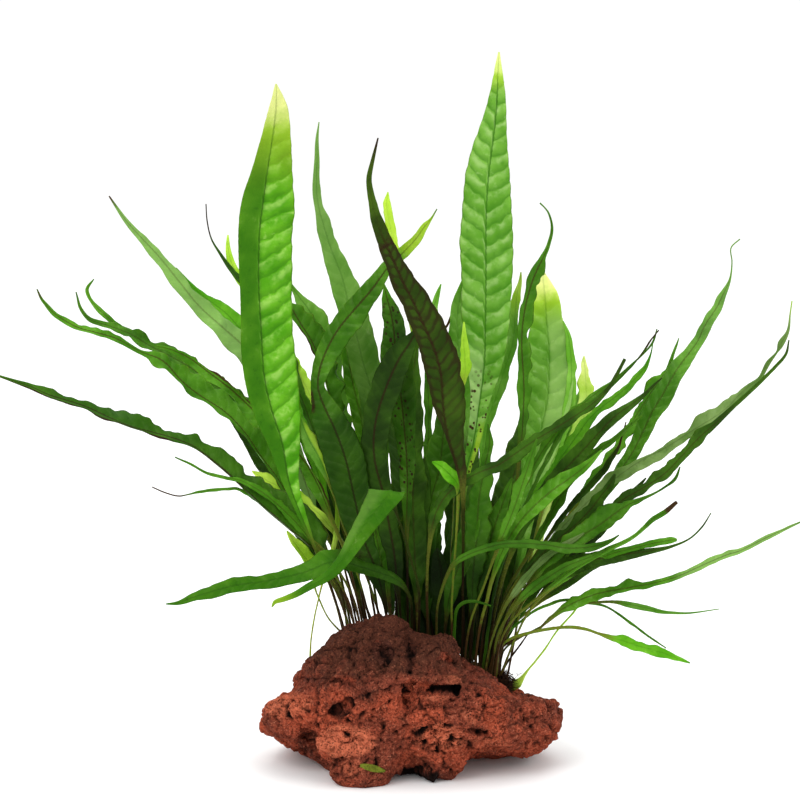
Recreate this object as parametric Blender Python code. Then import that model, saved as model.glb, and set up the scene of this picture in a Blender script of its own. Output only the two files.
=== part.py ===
"""Java fern on lava rock: a clump of long fronds rising from one creeping rhizome on a red lava stone.

Metres, +Z up, the front of the clump faces -Y. The origin lies on the flat underside of the stone.

The routes of the fronds and the outline of the stone are read off the reference photograph by eye, as
points of its 800 x 800 px frame, and each is set at a depth of its own. Widths, thicknesses, depths and
leans are real sizes in millimetres.
"""

import math
from dataclasses import dataclass

import bmesh
import bpy
from mathutils import Vector, noise
from mathutils.bvhtree import BVHTree

MM = 0.001

# Line of sight of the photograph
PHOTO_CENTRE_PX = 400.0
PIXEL = 0.363 * MM
SIGHT_DISTANCE = 1100 * MM
SIGHT_TILT = math.radians(8.5)
SIGHT_TARGET = Vector((-1.8 * MM, 0.0, 134.8 * MM))
SIGHT_AHEAD = Vector((0.0, math.cos(SIGHT_TILT), -math.sin(SIGHT_TILT)))
SIGHT_UP = Vector((0.0, math.sin(SIGHT_TILT), math.cos(SIGHT_TILT)))
SIGHT_RIGHT = Vector((1.0, 0.0, 0.0))
EYE = SIGHT_TARGET - SIGHT_AHEAD * SIGHT_DISTANCE

# Rhizome: points along it as (across px, down px, half depth mm, half height mm)
CROWN_DEPTH = 6 * MM
RHIZOME_ROUTE = (
    (308, 664, 1.5, 1.2), (322, 652, 2.2, 1.6), (342, 641, 4.0, 2.4), (360, 635, 7.0, 3.0),
    (385, 633, 8.0, 3.2), (410, 640, 8.0, 3.2), (432, 650, 8.0, 3.2), (455, 662, 8.0, 3.2),
    (478, 673, 7.5, 3.2), (498, 684, 6.0, 3.4), (509, 692, 3.0, 2.2),
)
RHIZOME_SIDES = 8
RHIZOME_RINGS = 22
RHIZOME_BUMP = 0.35 * MM
RHIZOME_GRAIN = 4 * MM

# Fronds
FROND_REACH = 160 * MM
LEAN_POWER = 1.3
ROOT_SPREAD = 0.085
SEAT_GAP = 0.35 * MM
BLADE_THICKNESS = 0.9 * MM
STALK_WIDTH = 1.4 * MM
TIP_THICKNESS = 0.35 * MM
KEEL = 0.05
FULL_ROLL_WIDTH = 4 * MM
FOLD_SOFTNESS = 0.12

# Stone: its outline as seen, clockwise from the left tip, and the lumps that stand on it
ROCK_CENTRE_PX = (412, 708)
ROCK_OUTLINE = (
    (260, 721), (267, 704), (279, 694), (293, 691), (297, 676), (307, 658), (320, 645), (335, 638),
    (348, 627), (361, 620), (374, 618), (390, 620), (405, 622), (414, 632), (427, 631), (446, 631),
    (455, 639), (457, 653), (470, 665), (489, 676), (509, 693), (528, 696), (544, 701), (556, 699),
    (562, 712), (561, 724), (554, 739), (539, 752), (511, 755), (478, 758), (461, 764), (450, 774),
    (440, 779), (428, 774), (416, 769), (402, 768), (393, 774), (381, 785), (363, 790), (346, 783),
    (329, 771), (309, 760), (294, 750), (279, 740), (263, 733),
)
ROCK_SECTIONS = (
    (-36, 0.42, 0.62, 0.0), (-27, 0.78, 0.90, 0.0), (-18, 0.95, 1.0, 0.0), (-10, 1.00, 1.0, 0.0),
    (0, 0.99, 1.0, 3.0), (10, 0.95, 1.0, 7.0), (22, 0.84, 1.0, 10.0), (33, 0.55, 0.9, 12.0),
)
ROCK_LUMPS = (
    (372, 668, -14, 20, 17, 14), (331, 700, -12, 14, 14, 15), (292, 716, -12, 12, 8.5, 12),
    (343, 738, -27, 11, 8.5, 11), (360, 768, -29, 10.5, 10, 11), (440, 655, -14, 8, 8.5, 9),
    (446, 708, -24, 20, 15, 15), (440, 752, -24, 10, 9.5, 10), (520, 727, -6, 15.5, 10.5, 15),
    (485, 715, -10, 13, 12, 16), (420, 745, 8, 20, 14, 18), (372, 740, 10, 18, 13, 16),
    (400, 690, 14, 30, 19, 16), (478, 716, 14, 20, 14, 15),
)
ROCK_FILLET_PASSES = 4
ROCK_FACES = 3500
ROCK_VOXEL = 1.4 * MM
ROCK_ROUGHNESS = ((14 * MM, 2.2 * MM), (6.5 * MM, 1.3 * MM))
BED_GAP = 0.8 * MM
BED_SLOPE = 1.5


@dataclass(frozen=True)
class Cut:
    """A pit, slit or ledge line in the front of the stone: from one seen point to another."""

    start: tuple[float, float]
    end: tuple[float, float]
    width: float
    depth: float


ROCK_CUTS = (
    Cut((407, 640), (410, 665), 3.0, 3.5), Cut((410, 684), (408, 708), 2.6, 5.0),
    Cut((420, 689), (458, 688), 1.7, 4.5), Cut((333, 716), (345, 705), 3.0, 4.0),
    Cut((377, 645), (385, 655), 3.6, 3.5), Cut((300, 676), (330, 679), 1.8, 1.6),
    Cut((330, 679), (358, 684), 1.8, 1.8), Cut((276, 716), (277, 718), 2.2, 2.2),
    Cut((278, 729), (293, 735), 1.8, 2.2), Cut((305, 735), (317, 752), 3.4, 3.6),
    Cut((334, 734), (351, 729), 1.3, 1.8), Cut((470, 729), (486, 734), 1.9, 2.6),
    Cut((466, 745), (476, 748), 2.2, 2.6), Cut((453, 735), (455, 737), 1.5, 2.0),
    Cut((433, 735), (443, 733), 1.3, 1.6), Cut((486, 712), (491, 722), 3.0, 1.8),
    Cut((535, 706), (538, 716), 3.0, 1.8), Cut((416, 765), (420, 768), 2.0, 2.0),
    Cut((426, 765), (428, 766), 1.6, 2.0), Cut((442, 660), (452, 668), 2.6, 2.4),
)

# Scrap of leaf that lies on the front foot of the stone
SCRAP_START_PX = (360, 765)
SCRAP_END_PX = (385, 771)
SCRAP_WIDTH = 2.6 * MM
SCRAP_THICKNESS = 0.4 * MM
SCRAP_GAP = 0.45 * MM
SCRAP_STATIONS = 5


@dataclass(frozen=True)
class Frond:
    """One leaf with its stalk.

    root is where it leaves the rhizome, across the photograph. lean is how far forward (-) or back (+) it
    has gone at FROND_REACH from the rhizome, in mm. roll turns the blade about its midrib, in degrees, the
    right-hand edge going back. The route runs from the stalk to the tip as (across px, down px, width mm).
    fold is the share of its length at which it doubles over towards the front, by fold_reach mm.
    """

    name: str
    root: float
    lean: float
    roll: float
    tint: str
    route: tuple[tuple[float, float, float], ...]
    fold: float = 0.0
    fold_reach: float = 0.0


TINTS = {
    "bright": (0.13, 0.36, 0.03),
    "green": (0.07, 0.24, 0.02),
    "dark": (0.03, 0.11, 0.01),
    "brown": (0.06, 0.06, 0.02),
    "lime": (0.45, 0.65, 0.06),
}
STONE_COLOUR = (0.30, 0.07, 0.035)
RHIZOME_COLOUR = (0.03, 0.02, 0.012)

TOP_FRONDS = (
    Frond("frond_tall_right", 466, -8, -14, "bright", (
        (463, 600, 1.4), (462, 540, 1.6), (466, 475, 3.0), (474, 442, 4.6), (480, 400, 7.0),
        (484, 370, 12.0),
        (486, 340, 16.0), (487, 290, 18.0), (487, 231, 19.0), (488, 180, 16.5), (491, 150, 13.0),
        (494, 129, 10.0), (497, 100, 6.5), (498, 75, 3.5), (499, 52, 0.6))),
    Frond("frond_tall_left", 352, -50, 10, "bright", (
        (340, 600, 1.4), (318, 555, 2.0), (300, 510, 3.5), (290, 480, 6.0), (284, 440, 12.0),
        (277, 410, 16.5), (270, 371, 19.0), (266, 320, 18.5), (265, 282, 18.5), (265, 231, 18.8),
        (268, 200, 18.0), (272, 168, 14.0), (276, 135, 10.0), (278, 108, 6.5), (276, 84, 0.6))),
    Frond("frond_brown_front", 462, -62, 12, "brown", (
        (463, 560, 1.5), (463, 500, 2.2), (461, 470, 3.6), (456, 440, 6.5), (449, 402, 11.5),
        (442, 371, 13.0), (430, 333, 11.2), (415, 300, 10.0), (404, 282, 8.5), (388, 250, 6.4),
        (380, 230, 4.6), (372, 200, 2.6), (369, 180, 1.9), (372, 163, 1.4), (378, 138, 0.5))),
    Frond("frond_thin_tall", 398, 5, 24, "green", (
        (393, 560, 1.5), (386, 500, 3.0), (379, 450, 7.0), (374, 410, 10.0), (366, 370, 11.5),
        (357, 330, 11.5), (348, 300, 10.0), (342, 280, 9.2), (331, 250, 6.8), (325, 230, 6.0),
        (318, 205, 3.6), (316, 185, 2.8), (317, 160, 1.9), (317, 140, 1.2), (319, 122, 0.4))),
    Frond("frond_lime_small", 412, 30, -30, "lime", (
        (411, 500, 1.5), (408, 400, 3.0), (404, 330, 4.0), (399, 270, 4.0), (394, 241, 3.4),
        (389, 215, 3.2), (387, 203, 2.6), (388, 192, 0.5))),
    Frond("frond_kinked", 388, -40, 14, "green", (
        (384, 600, 2.6), (375, 572, 6.0), (362, 540, 9.0), (354, 500, 13.0), (344, 460, 15.0),
        (333, 430, 13.0),
        (322, 405, 9.0), (317, 386, 5.5), (321, 364, 7.0), (334, 338, 8.8), (352, 313, 9.0),
        (371, 288, 7.0), (386, 268, 4.4), (401, 254, 3.8), (415, 240, 3.5), (425, 226, 2.4),
        (431, 219, 0.9), (437, 209, 0.4))),
    Frond("frond_yellow_edge", 384, -44, 4, "bright", (
        (366, 575, 1.4), (345, 530, 1.4), (337, 504, 1.4), (327, 478, 2.6), (319, 460, 4.0),
        (310, 442, 5.0), (305, 430, 3.6), (298, 412, 0.6))),
    Frond("frond_spotted", 408, -18, -24, "dark", (
        (407, 540, 2.0), (407, 480, 5.0), (405, 430, 9.0), (402, 390, 11.0), (398, 360, 11.0),
        (395, 330, 8.7), (391, 310, 6.0), (387, 297, 3.2), (384, 284, 0.6))),
    Frond("frond_behind_tall", 480, 22, 24, "green", (
        (476, 600, 2.0), (474, 560, 5.5), (470, 480, 8.0), (466, 420, 8.5), (460, 380, 9.5),
        (457, 345, 8.5), (457, 315, 6.0), (460, 295, 3.5), (462, 281, 0.6))),
    Frond("frond_hooked", 490, 2, 30, "dark", (
        (500, 600, 1.4), (512, 520, 1.6), (520, 450, 2.4), (523, 400, 4.0), (522, 345, 4.2),
        (525, 310, 4.6), (531, 284, 5.0), (537, 268, 5.0), (542, 259, 2.8), (548, 246, 1.5),
        (552, 228, 1.1), (549, 214, 0.7), (545, 208, 0.5), (540, 203, 0.6))),
    Frond("frond_thin_lime", 476, 14, -28, "green", (
        (479, 560, 1.4), (482, 470, 2.5), (487, 425, 3.5), (495, 400, 5.0), (503, 370, 6.5),
        (510, 345, 6.5), (514, 320, 4.5), (517, 295, 2.6), (520, 282, 1.6), (521, 272, 0.5))),
    Frond("frond_yellow_tip", 492, 32, -20, "bright", (
        (497, 645, 1.4), (509, 605, 1.8), (524, 540, 4.0), (533, 480, 9.0), (543, 430, 15.0),
        (549, 400, 17.0),
        (550, 371, 17.0), (549, 345, 15.5), (547, 320, 12.0), (546, 300, 10.0), (544, 285, 6.0),
        (543, 271, 0.8))),
    Frond("frond_pale_tip", 490, 44, 26, "lime", (
        (498, 638, 1.4), (522, 585, 2.0), (553, 500, 4.0), (572, 450, 6.0), (580, 420, 6.5),
        (584, 400, 5.8), (584, 380, 4.8), (584, 366, 2.8), (584, 356, 0.6))),
)

CENTRE_FRONDS = (
    Frond("frond_centre_upright", 418, 12, 30, "dark", (
        (417, 610, 1.8), (417, 590, 4.0), (416, 560, 7.5), (413, 500, 8.5), (411, 440, 8.0),
        (411, 400, 6.5), (413, 370, 4.5), (418, 342, 0.6))),
    Frond("frond_centre_bright", 431, 42, -24, "green", (
        (427, 612, 3.0), (426, 590, 6.5), (426, 558, 8.0), (427, 525, 8.5), (433, 497, 10.0),
        (440, 470, 11.5), (444, 445, 10.0), (445, 425, 7.0), (443, 395, 4.0), (438, 366, 0.5))),
    Frond("frond_centre_stub", 470, -28, 18, "green", (
        (472, 600, 3.0), (475, 550, 8.0), (479, 505, 8.0), (484, 465, 4.5), (489, 440, 2.6),
        (488, 424, 0.6))),
    Frond("frond_centre_dark", 402, -30, -14, "dark", (
        (399, 600, 2.0), (395, 560, 6.0), (384, 500, 8.0), (375, 460, 9.0), (377, 425, 10.0),
        (386, 390, 10.5), (398, 360, 9.5), (410, 342, 6.0), (418, 328, 0.8))),
    Frond("frond_centre_left", 392, 18, 28, "green", (
        (388, 595, 2.4), (380, 555, 4.5), (370, 490, 5.0), (363, 430, 6.5), (356, 395, 7.5),
        (350, 365, 6.5), (346, 345, 3.6), (343, 330, 0.6))),
    Frond("frond_back_middle", 446, 72, -32, "dark", (
        (451, 635, 3.0), (454, 605, 6.5), (457, 570, 8.5), (459, 530, 9.5), (457, 490, 10.0),
        (454, 450, 10.0), (451, 410, 7.0), (448, 372, 0.6))),
    Frond("frond_back_inner_left", 422, 88, 30, "dark", (
        (418, 600, 3.0), (413, 570, 7.0), (409, 540, 9.0), (402, 470, 9.5), (396, 420, 9.5),
        (390, 380, 7.0), (386, 350, 3.5), (384, 328, 0.6))),
    Frond("frond_back_inner_right", 472, 84, -30, "dark", (
        (478, 630, 3.0), (486, 598, 6.5), (495, 560, 9.0), (503, 520, 10.0), (515, 470, 10.0),
        (526, 430, 7.5), (534, 400, 4.0), (539, 374, 0.6))),
    Frond("frond_back_left", 374, 68, 32, "dark", (
        (360, 590, 2.0), (350, 555, 5.0), (332, 500, 7.5), (316, 455, 9.0), (304, 420, 7.0),
        (297, 395, 3.0), (293, 376, 0.6))),
)

LEFT_FRONDS = (
    Frond("frond_left_high", 356, 16, 34, "green", (
        (346, 600, 1.3), (323, 540, 2.0), (304, 480, 4.5), (287, 430, 6.8), (266, 385, 8.0),
        (243, 350, 8.0), (222, 328, 7.2), (200, 307, 6.2), (180, 284, 5.5), (159, 259, 4.4),
        (138, 235, 2.8), (124, 218, 1.6), (109, 196, 0.5))),
    Frond("frond_left_high_back", 361, 26, 34, "bright", (
        (342, 560, 1.4), (306, 440, 4.5), (272, 370, 7.0), (245, 336, 7.0), (226, 315, 5.5),
        (204, 298, 3.0), (190, 284, 1.6), (176, 268, 0.5))),
    Frond("frond_left_whisker", 366, 46, 28, "dark", (
        (351, 560, 1.4), (312, 430, 4.0), (282, 350, 5.0), (258, 308, 4.5), (243, 284, 3.0),
        (230, 268, 1.8), (219, 252, 1.0), (211, 238, 0.6), (207, 220, 0.5), (206, 204, 0.5))),
    Frond("frond_left_inner_back", 380, 30, 26, "green", (
        (370, 560, 1.5), (354, 470, 3.0), (340, 400, 5.0), (330, 345, 6.0), (320, 325, 6.2),
        (309, 310, 5.0), (299, 298, 3.2), (291, 284, 0.8))),
    Frond("frond_left_ruffled", 377, 10, 26, "green", (
        (365, 560, 1.5), (348, 470, 3.0), (336, 400, 5.5), (325, 360, 6.5), (315, 338, 6.5),
        (303, 322, 5.6), (294, 310, 4.0), (288, 302, 0.6))),
    Frond("frond_left_long", 350, 4, 34, "green", (
        (341, 600, 1.3), (318, 545, 2.0), (300, 510, 4.0), (285, 482, 6.0), (270, 458, 7.6),
        (252, 432, 8.8), (226, 408, 9.2), (201, 391, 8.2), (181, 377, 7.2), (163, 362, 5.0),
        (139, 351, 1.8), (115, 338, 2.8), (96, 332, 3.0), (77, 327, 2.6), (55, 314, 2.0),
        (43, 301, 1.2), (37, 289, 0.5))),
    Frond("frond_left_long_back", 352, 28, 34, "dark", (
        (333, 550, 1.6), (302, 487, 3.5), (270, 440, 5.2), (240, 407, 5.6), (215, 385, 5.6),
        (190, 367, 5.4), (170, 355, 4.6), (149, 344, 4.0), (134, 335, 3.6), (115, 328, 3.0),
        (102, 324, 2.2), (89, 319, 1.6), (80, 307, 1.2), (76, 292, 0.5))),
    Frond("frond_left_hook_tip", 358, 38, 34, "green", (
        (336, 540, 1.4), (302, 470, 3.0), (264, 425, 4.5), (228, 394, 5.0), (195, 371, 4.6),
        (165, 353, 4.0), (141, 341, 3.2), (122, 330, 2.6), (106, 316, 2.0), (93, 303, 1.6),
        (87, 290, 1.4), (94, 279, 0.4))),
    Frond("frond_left_thin_dark", 364, -12, 30, "dark", (
        (344, 550, 1.6), (312, 480, 3.5), (280, 438, 5.0), (260, 421, 5.4), (245, 408, 5.0),
        (226, 390, 4.6), (207, 374, 4.0), (188, 359, 3.0), (172, 350, 1.8), (156, 346, 0.8))),
    Frond("frond_left_reaching", 348, -34, 36, "green", (
        (343, 600, 1.5), (330, 565, 3.5), (313, 537, 8.0), (296, 519, 11.0), (278, 505, 10.5),
        (258, 490, 8.0), (239, 475, 6.0), (220, 460, 5.0), (201, 447, 4.2), (178, 438, 4.2),
        (153, 430, 4.2), (128, 420, 5.2), (102, 412, 4.8), (77, 404, 3.2), (51, 395, 3.4),
        (32, 387, 2.2), (14, 381, 1.4), (-10, 373, 0.5))),
    Frond("frond_left_lime_low", 344, 10, 20, "lime", (
        (329, 619, 0.9), (320, 601, 1.0), (315, 588, 1.2), (313, 572, 2.4), (308, 558, 4.4),
        (299, 546, 4.0), (292, 538, 2.6), (287, 531, 0.6))),
    Frond("frond_left_low", 411, -78, 24, "bright", (
        (411, 602, 1.5), (404, 587, 2.6), (394, 579, 3.8), (377, 573, 4.6), (345, 570, 5.4),
        (328, 568, 6.6), (309, 572, 6.2), (290, 578, 5.6), (265, 582, 5.2), (239, 585, 5.2),
        (214, 591, 5.0), (195, 598, 3.2), (175, 604, 1.6), (154, 603, 0.5))),
    Frond("frond_front_bent", 418, -92, 0, "bright", (
        (419, 590, 1.6), (414, 550, 3.0), (404, 515, 7.0), (393, 494, 11.0), (380, 504, 12.0),
        (366, 520, 11.5), (353, 538, 10.0), (341, 557, 8.0), (328, 575, 5.5), (315, 584, 3.8),
        (303, 592, 3.2), (290, 598, 2.6), (278, 601, 1.8), (272, 607, 0.5)), 0.46, 9.0),
    Frond("frond_left_back_low", 346, 62, 34, "dark", (
        (332, 590, 1.6), (310, 535, 4.5), (287, 498, 6.5), (264, 462, 7.0), (242, 428, 6.0),
        (222, 404, 4.0), (206, 388, 0.6))),
)

RIGHT_FRONDS = (
    Frond("frond_right_dark_blunt", 428, -52, -18, "dark", (
        (427, 580, 1.6), (430, 540, 2.4), (436, 515, 4.5), (448, 497, 5.0), (463, 484, 4.2),
        (480, 474, 4.6), (500, 466, 5.0), (519, 453, 4.6), (538, 439, 4.4), (564, 423, 3.6),
        (589, 407, 3.0), (608, 389, 1.6), (617, 374, 1.4), (625, 359, 1.2))),
    Frond("frond_right_whisker", 478, -44, -28, "green", (
        (492, 580, 1.4), (516, 505, 2.0), (540, 455, 3.0), (560, 428, 3.4), (580, 408, 3.0),
        (600, 391, 2.2), (612, 382, 1.0), (630, 366, 0.7), (645, 352, 0.7), (653, 342, 0.8),
        (657, 329, 0.4))),
    Frond("frond_right_light", 479, -5, -32, "bright", (
        (501, 580, 1.6), (530, 512, 3.0), (555, 468, 4.0), (573, 443, 4.2), (588, 422, 3.6),
        (600, 410, 3.0), (612, 401, 3.0), (624, 391, 2.8), (633, 382, 2.8), (641, 373, 2.4),
        (646, 366, 1.6), (651, 353, 0.6), (653, 342, 0.4))),
    Frond("frond_right_dark_broad", 484, -24, -28, "dark", (
        (500, 590, 1.6), (516, 542, 3.0), (538, 502, 5.0), (562, 474, 5.8), (583, 450, 5.6),
        (602, 430, 5.0), (616, 416, 4.2), (634, 403, 2.6), (645, 394, 1.5), (655, 384, 0.9),
        (662, 378, 0.5))),
    Frond("frond_right_big", 496, 14, -32, "bright", (
        (512, 610, 1.6), (549, 560, 2.5), (588, 513, 4.0), (612, 481, 4.8), (633, 452, 5.6),
        (646, 427, 6.6), (653, 412, 7.0), (663, 396, 7.2), (675, 376, 6.8), (684, 363, 6.2),
        (692, 352, 5.0), (699, 341, 3.8), (706, 325, 4.0), (717, 308, 4.0), (724, 293, 2.4),
        (730, 279, 0.9), (732, 262, 0.5), (731, 248, 0.5), (740, 239, 0.5))),
    Frond("frond_right_slender", 489, -14, -32, "green", (
        (503, 600, 1.4), (539, 538, 2.6), (562, 497, 3.4), (577, 471, 3.4), (590, 458, 3.4),
        (602, 448, 2.8), (613, 440, 2.0), (625, 430, 1.8), (635, 421, 1.2), (643, 415, 0.5))),
    Frond("frond_right_far_high", 494, -21, -34, "green", (
        (514, 600, 1.6), (545, 552, 3.0), (575, 516, 5.0), (600, 491, 6.0), (619, 478, 6.0),
        (645, 463, 5.2), (664, 453, 4.6), (683, 439, 4.2), (702, 424, 4.4), (728, 405, 4.2),
        (738, 396, 3.4), (750, 386, 2.0), (760, 378, 1.4), (768, 363, 1.8), (777, 352, 0.8),
        (781, 344, 2.4), (788, 331, 1.2), (790, 315, 0.6), (792, 301, 0.5))),
    Frond("frond_right_far_low", 491, -43, -34, "dark", (
        (520, 607, 1.6), (560, 557, 3.0), (600, 520, 3.6), (625, 500, 3.8), (638, 492, 3.8),
        (664, 475, 4.2), (683, 456, 3.6), (702, 435, 3.4), (715, 424, 2.4), (735, 405, 1.6),
        (762, 380, 1.4), (775, 367, 1.2), (786, 354, 1.0), (789, 340, 0.5))),
    Frond("frond_right_brown_patch", 489, -62, -28, "green", (
        (520, 600, 1.6), (555, 555, 4.0), (590, 530, 6.8), (613, 514, 6.4), (628, 506, 4.0),
        (640, 500, 1.8), (655, 493, 0.8), (665, 487, 0.8), (675, 479, 1.2), (680, 467, 0.5))),
    Frond("frond_right_olive", 480, -38, -24, "brown", (
        (505, 602, 1.6), (530, 567, 3.0), (555, 543, 4.0), (575, 526, 4.4), (590, 511, 4.6),
        (602, 496, 4.4), (610, 485, 3.2), (615, 474, 0.8))),
    Frond("frond_right_brown_tip", 493, -77, -26, "green", (
        (500, 643, 1.2), (511, 622, 1.3), (530, 604, 1.4), (575, 568, 2.0), (605, 551, 2.0),
        (630, 539, 1.4), (645, 527, 1.6), (653, 519, 1.9), (665, 512, 1.9), (677, 502, 1.2))),
    Frond("frond_right_drooping", 487, -55, -18, "dark", (
        (509, 612, 1.8), (534, 585, 4.0), (555, 571, 6.2), (575, 565, 6.8), (600, 560, 6.2),
        (625, 555, 4.4), (651, 551, 2.2), (670, 547, 1.2), (689, 539, 0.7), (702, 527, 0.7),
        (711, 513, 0.4))),
    Frond("frond_right_long_low", 497, -35, -28, "bright", (
        (501, 650, 1.3), (515, 639, 1.3), (537, 630, 1.4), (552, 617, 2.4), (574, 605, 4.0),
        (600, 594, 4.4),
        (625, 588, 4.4), (637, 586, 3.4), (651, 584, 2.4), (677, 577, 2.4), (702, 566, 2.4),
        (728, 555, 2.8), (740, 551, 2.0), (766, 538, 1.7), (785, 529, 1.2), (805, 520, 0.5))),
    Frond("frond_right_low_thin", 499, -18, -24, "green", (
        (503, 652, 1.2), (516, 640, 1.2), (542, 626, 1.2), (562, 612, 1.2), (582, 604, 1.5),
        (600, 602, 1.6), (613, 602, 1.8),
        (625, 604, 2.2), (645, 608, 2.4), (664, 612, 1.4), (689, 613, 0.7), (719, 609, 0.4))),
    Frond("frond_right_low_arch", 495, -58, -24, "bright", (
        (500, 648, 1.3), (510, 639, 1.5), (521, 635, 1.8), (542, 630, 2.2), (568, 627, 2.5),
        (585, 629, 2.0),
        (593, 632, 1.4), (612, 638, 2.4), (623, 641, 2.8), (638, 647, 2.8), (664, 655, 2.2),
        (679, 659, 1.6), (690, 663, 0.5))),
    Frond("frond_front_arch", 436, -80, -14, "bright", (
        (437, 612, 1.3), (440, 596, 1.5), (446, 578, 1.9), (453, 565, 2.4), (464, 557, 2.6),
        (478, 551, 2.8), (504, 544, 2.8), (542, 545, 3.0), (568, 549, 3.4), (593, 547, 2.8),
        (610, 541, 1.4), (619, 535, 0.5))),
    Frond("frond_front_inner", 464, -69, -12, "green", (
        (467, 640, 1.2), (471, 620, 1.2), (477, 603, 1.2), (485, 583, 1.3), (492, 563, 1.6),
        (501, 540, 2.6), (512, 512, 4.0), (523, 482, 4.0), (531, 458, 2.4), (537, 439, 0.5))),
    Frond("frond_front_pale_stalk", 474, -60, -20, "dark", (
        (478, 640, 1.3), (482, 618, 1.6), (487, 600, 2.0), (491, 583, 2.2), (498, 563, 2.6),
        (504, 549, 3.2), (515, 529, 4.6), (531, 509, 6.0), (551, 491, 6.4), (572, 476, 4.6),
        (590, 462, 2.4), (602, 450, 0.6))),
    Frond("frond_front_low_right", 489, -84, -14, "bright", (
        (494, 655, 1.2), (497, 638, 1.3), (504, 622, 1.5), (516, 605, 2.2), (531, 590, 3.0),
        (546, 579, 3.4), (566, 567, 3.0), (590, 557, 1.8), (606, 549, 0.5))),
    Frond("frond_back_right_high", 486, 58, -28, "green", (
        (510, 590, 1.6), (540, 530, 5.0), (558, 480, 8.0), (568, 440, 8.0), (576, 408, 4.0),
        (582, 386, 0.6))),
    Frond("frond_back_right_low", 494, 64, -30, "dark", (
        (501, 645, 1.3), (512, 622, 1.6), (534, 602, 2.0), (574, 557, 4.5), (600, 528, 5.0),
        (620, 506, 4.0), (636, 489, 2.0), (646, 478, 0.6))),
)


def seen(across: float, down: float, depth: float) -> Vector:
    """The place at a depth along Y that the photograph shows at a pixel."""
    right = (across - PHOTO_CENTRE_PX) * PIXEL / SIGHT_DISTANCE
    up = (PHOTO_CENTRE_PX - down) * PIXEL / SIGHT_DISTANCE
    ray = SIGHT_AHEAD + SIGHT_RIGHT * right + SIGHT_UP * up
    return EYE + ray * ((depth - EYE.y) / ray.y)


def pixel_of(place: Vector) -> tuple[float, float]:
    """The pixel at which the photograph shows a place."""
    ray = place - EYE
    scale = SIGHT_DISTANCE / (ray.dot(SIGHT_AHEAD) * PIXEL)
    return (PHOTO_CENTRE_PX + ray.dot(SIGHT_RIGHT) * scale, PHOTO_CENTRE_PX - ray.dot(SIGHT_UP) * scale)


def read_line(points: tuple, at: float) -> list[float]:
    """The values of a table of points at a place of its first column, straight between its rows."""
    for low, high in zip(points, points[1:]):
        if at <= high[0]:
            break
    share = min(max((at - low[0]) / (high[0] - low[0]), 0.0), 1.0)
    return [a + (b - a) * share for a, b in zip(low, high)]


def smooth_read(points: list, count: int) -> list[list[float]]:
    """Values at even steps along a smooth curve through points whose first two columns are a place."""
    runs = [0.0]
    for low, high in zip(points, points[1:]):
        runs.append(runs[-1] + math.hypot(high[0] - low[0], high[1] - low[1]))
    slopes = []
    for index in range(len(points)):
        first = max(index - 1, 0)
        last = min(index + 1, len(points) - 1)
        slopes.append([(b - a) / (runs[last] - runs[first]) for a, b in zip(points[first], points[last])])
    values = []
    span = 0
    for step in range(count):
        run = runs[-1] * step / (count - 1)
        while span < len(points) - 2 and run > runs[span + 1]:
            span += 1
        length = runs[span + 1] - runs[span]
        t = (run - runs[span]) / length
        weights = (2 * t**3 - 3 * t**2 + 1, t**3 - 2 * t**2 + t, 3 * t**2 - 2 * t**3, t**3 - t**2)
        values.append([
            weights[0] * a + weights[1] * length * da + weights[2] * b + weights[3] * length * db
            for a, da, b, db in zip(points[span], slopes[span], points[span + 1], slopes[span + 1])])
    return values


def above_rhizome(across: float, down: float) -> float:
    """How far a pixel lies from the seen line of the rhizome, in metres at the crown."""
    nearest = math.inf
    for low, high in zip(RHIZOME_ROUTE, RHIZOME_ROUTE[1:]):
        run = (high[0] - low[0], high[1] - low[1])
        share = ((across - low[0]) * run[0] + (down - low[1]) * run[1]) / (run[0]**2 + run[1]**2)
        share = min(max(share, 0.0), 1.0)
        nearest = min(nearest, math.hypot(across - low[0] - share * run[0], down - low[1] - share * run[1]))
    return nearest * PIXEL


def frond_depth(lean: float, across: float, down: float) -> float:
    """Depth of a frond where it is seen at a pixel: fronds of different leans never meet at one pixel."""
    reach = above_rhizome(across, down) / FROND_REACH
    return CROWN_DEPTH + lean * MM * (ROOT_SPREAD + reach**LEAN_POWER)


def frond_seat(frond: Frond) -> tuple[float, float]:
    """The pixel at which a frond's stalk stands on the top of the rhizome."""
    across, down, half_depth, half_height = read_line(RHIZOME_ROUTE, frond.root)
    offset = frond.lean * MM * ROOT_SPREAD
    share = min(abs(offset) / (half_depth * MM), 0.95)
    rise = half_height * MM * math.sqrt(1 - share**2) + RHIZOME_BUMP + SEAT_GAP
    middle = seen(across, down, CROWN_DEPTH)
    return pixel_of(middle + Vector((0.0, offset, rise)))


def smooth_step(share: float) -> float:
    """An even rise from 0 to 1."""
    share = min(max(share, 0.0), 1.0)
    return share * share * (3 - 2 * share)


def frond_line(frond: Frond) -> tuple[list[Vector], list[float]]:
    """The middle line of a frond in space, and its widths along it."""
    points = [(*frond_seat(frond), STALK_WIDTH / MM), *frond.route]
    runs = [0.0]
    for low, high in zip(points, points[1:]):
        runs.append(runs[-1] + math.hypot(high[0] - low[0], high[1] - low[1]))
    line = []
    widths = []
    for run, (across, down, width) in zip(runs, points):
        depth = frond_depth(frond.lean, across, down)
        if frond.fold:
            share = run / runs[-1]
            depth -= frond.fold_reach * MM * smooth_step((share - frond.fold) / FOLD_SOFTNESS + 0.5)
        line.append(seen(across, down, depth))
        widths.append(max(width * MM, TIP_THICKNESS))
    return line, widths


def blade_turn(frond: Frond, width: float) -> float:
    """How far a blade is rolled where it has a seen width, less where it is narrow, in radians."""
    return math.radians(frond.roll) * smooth_step(width / FULL_ROLL_WIDTH)


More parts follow.
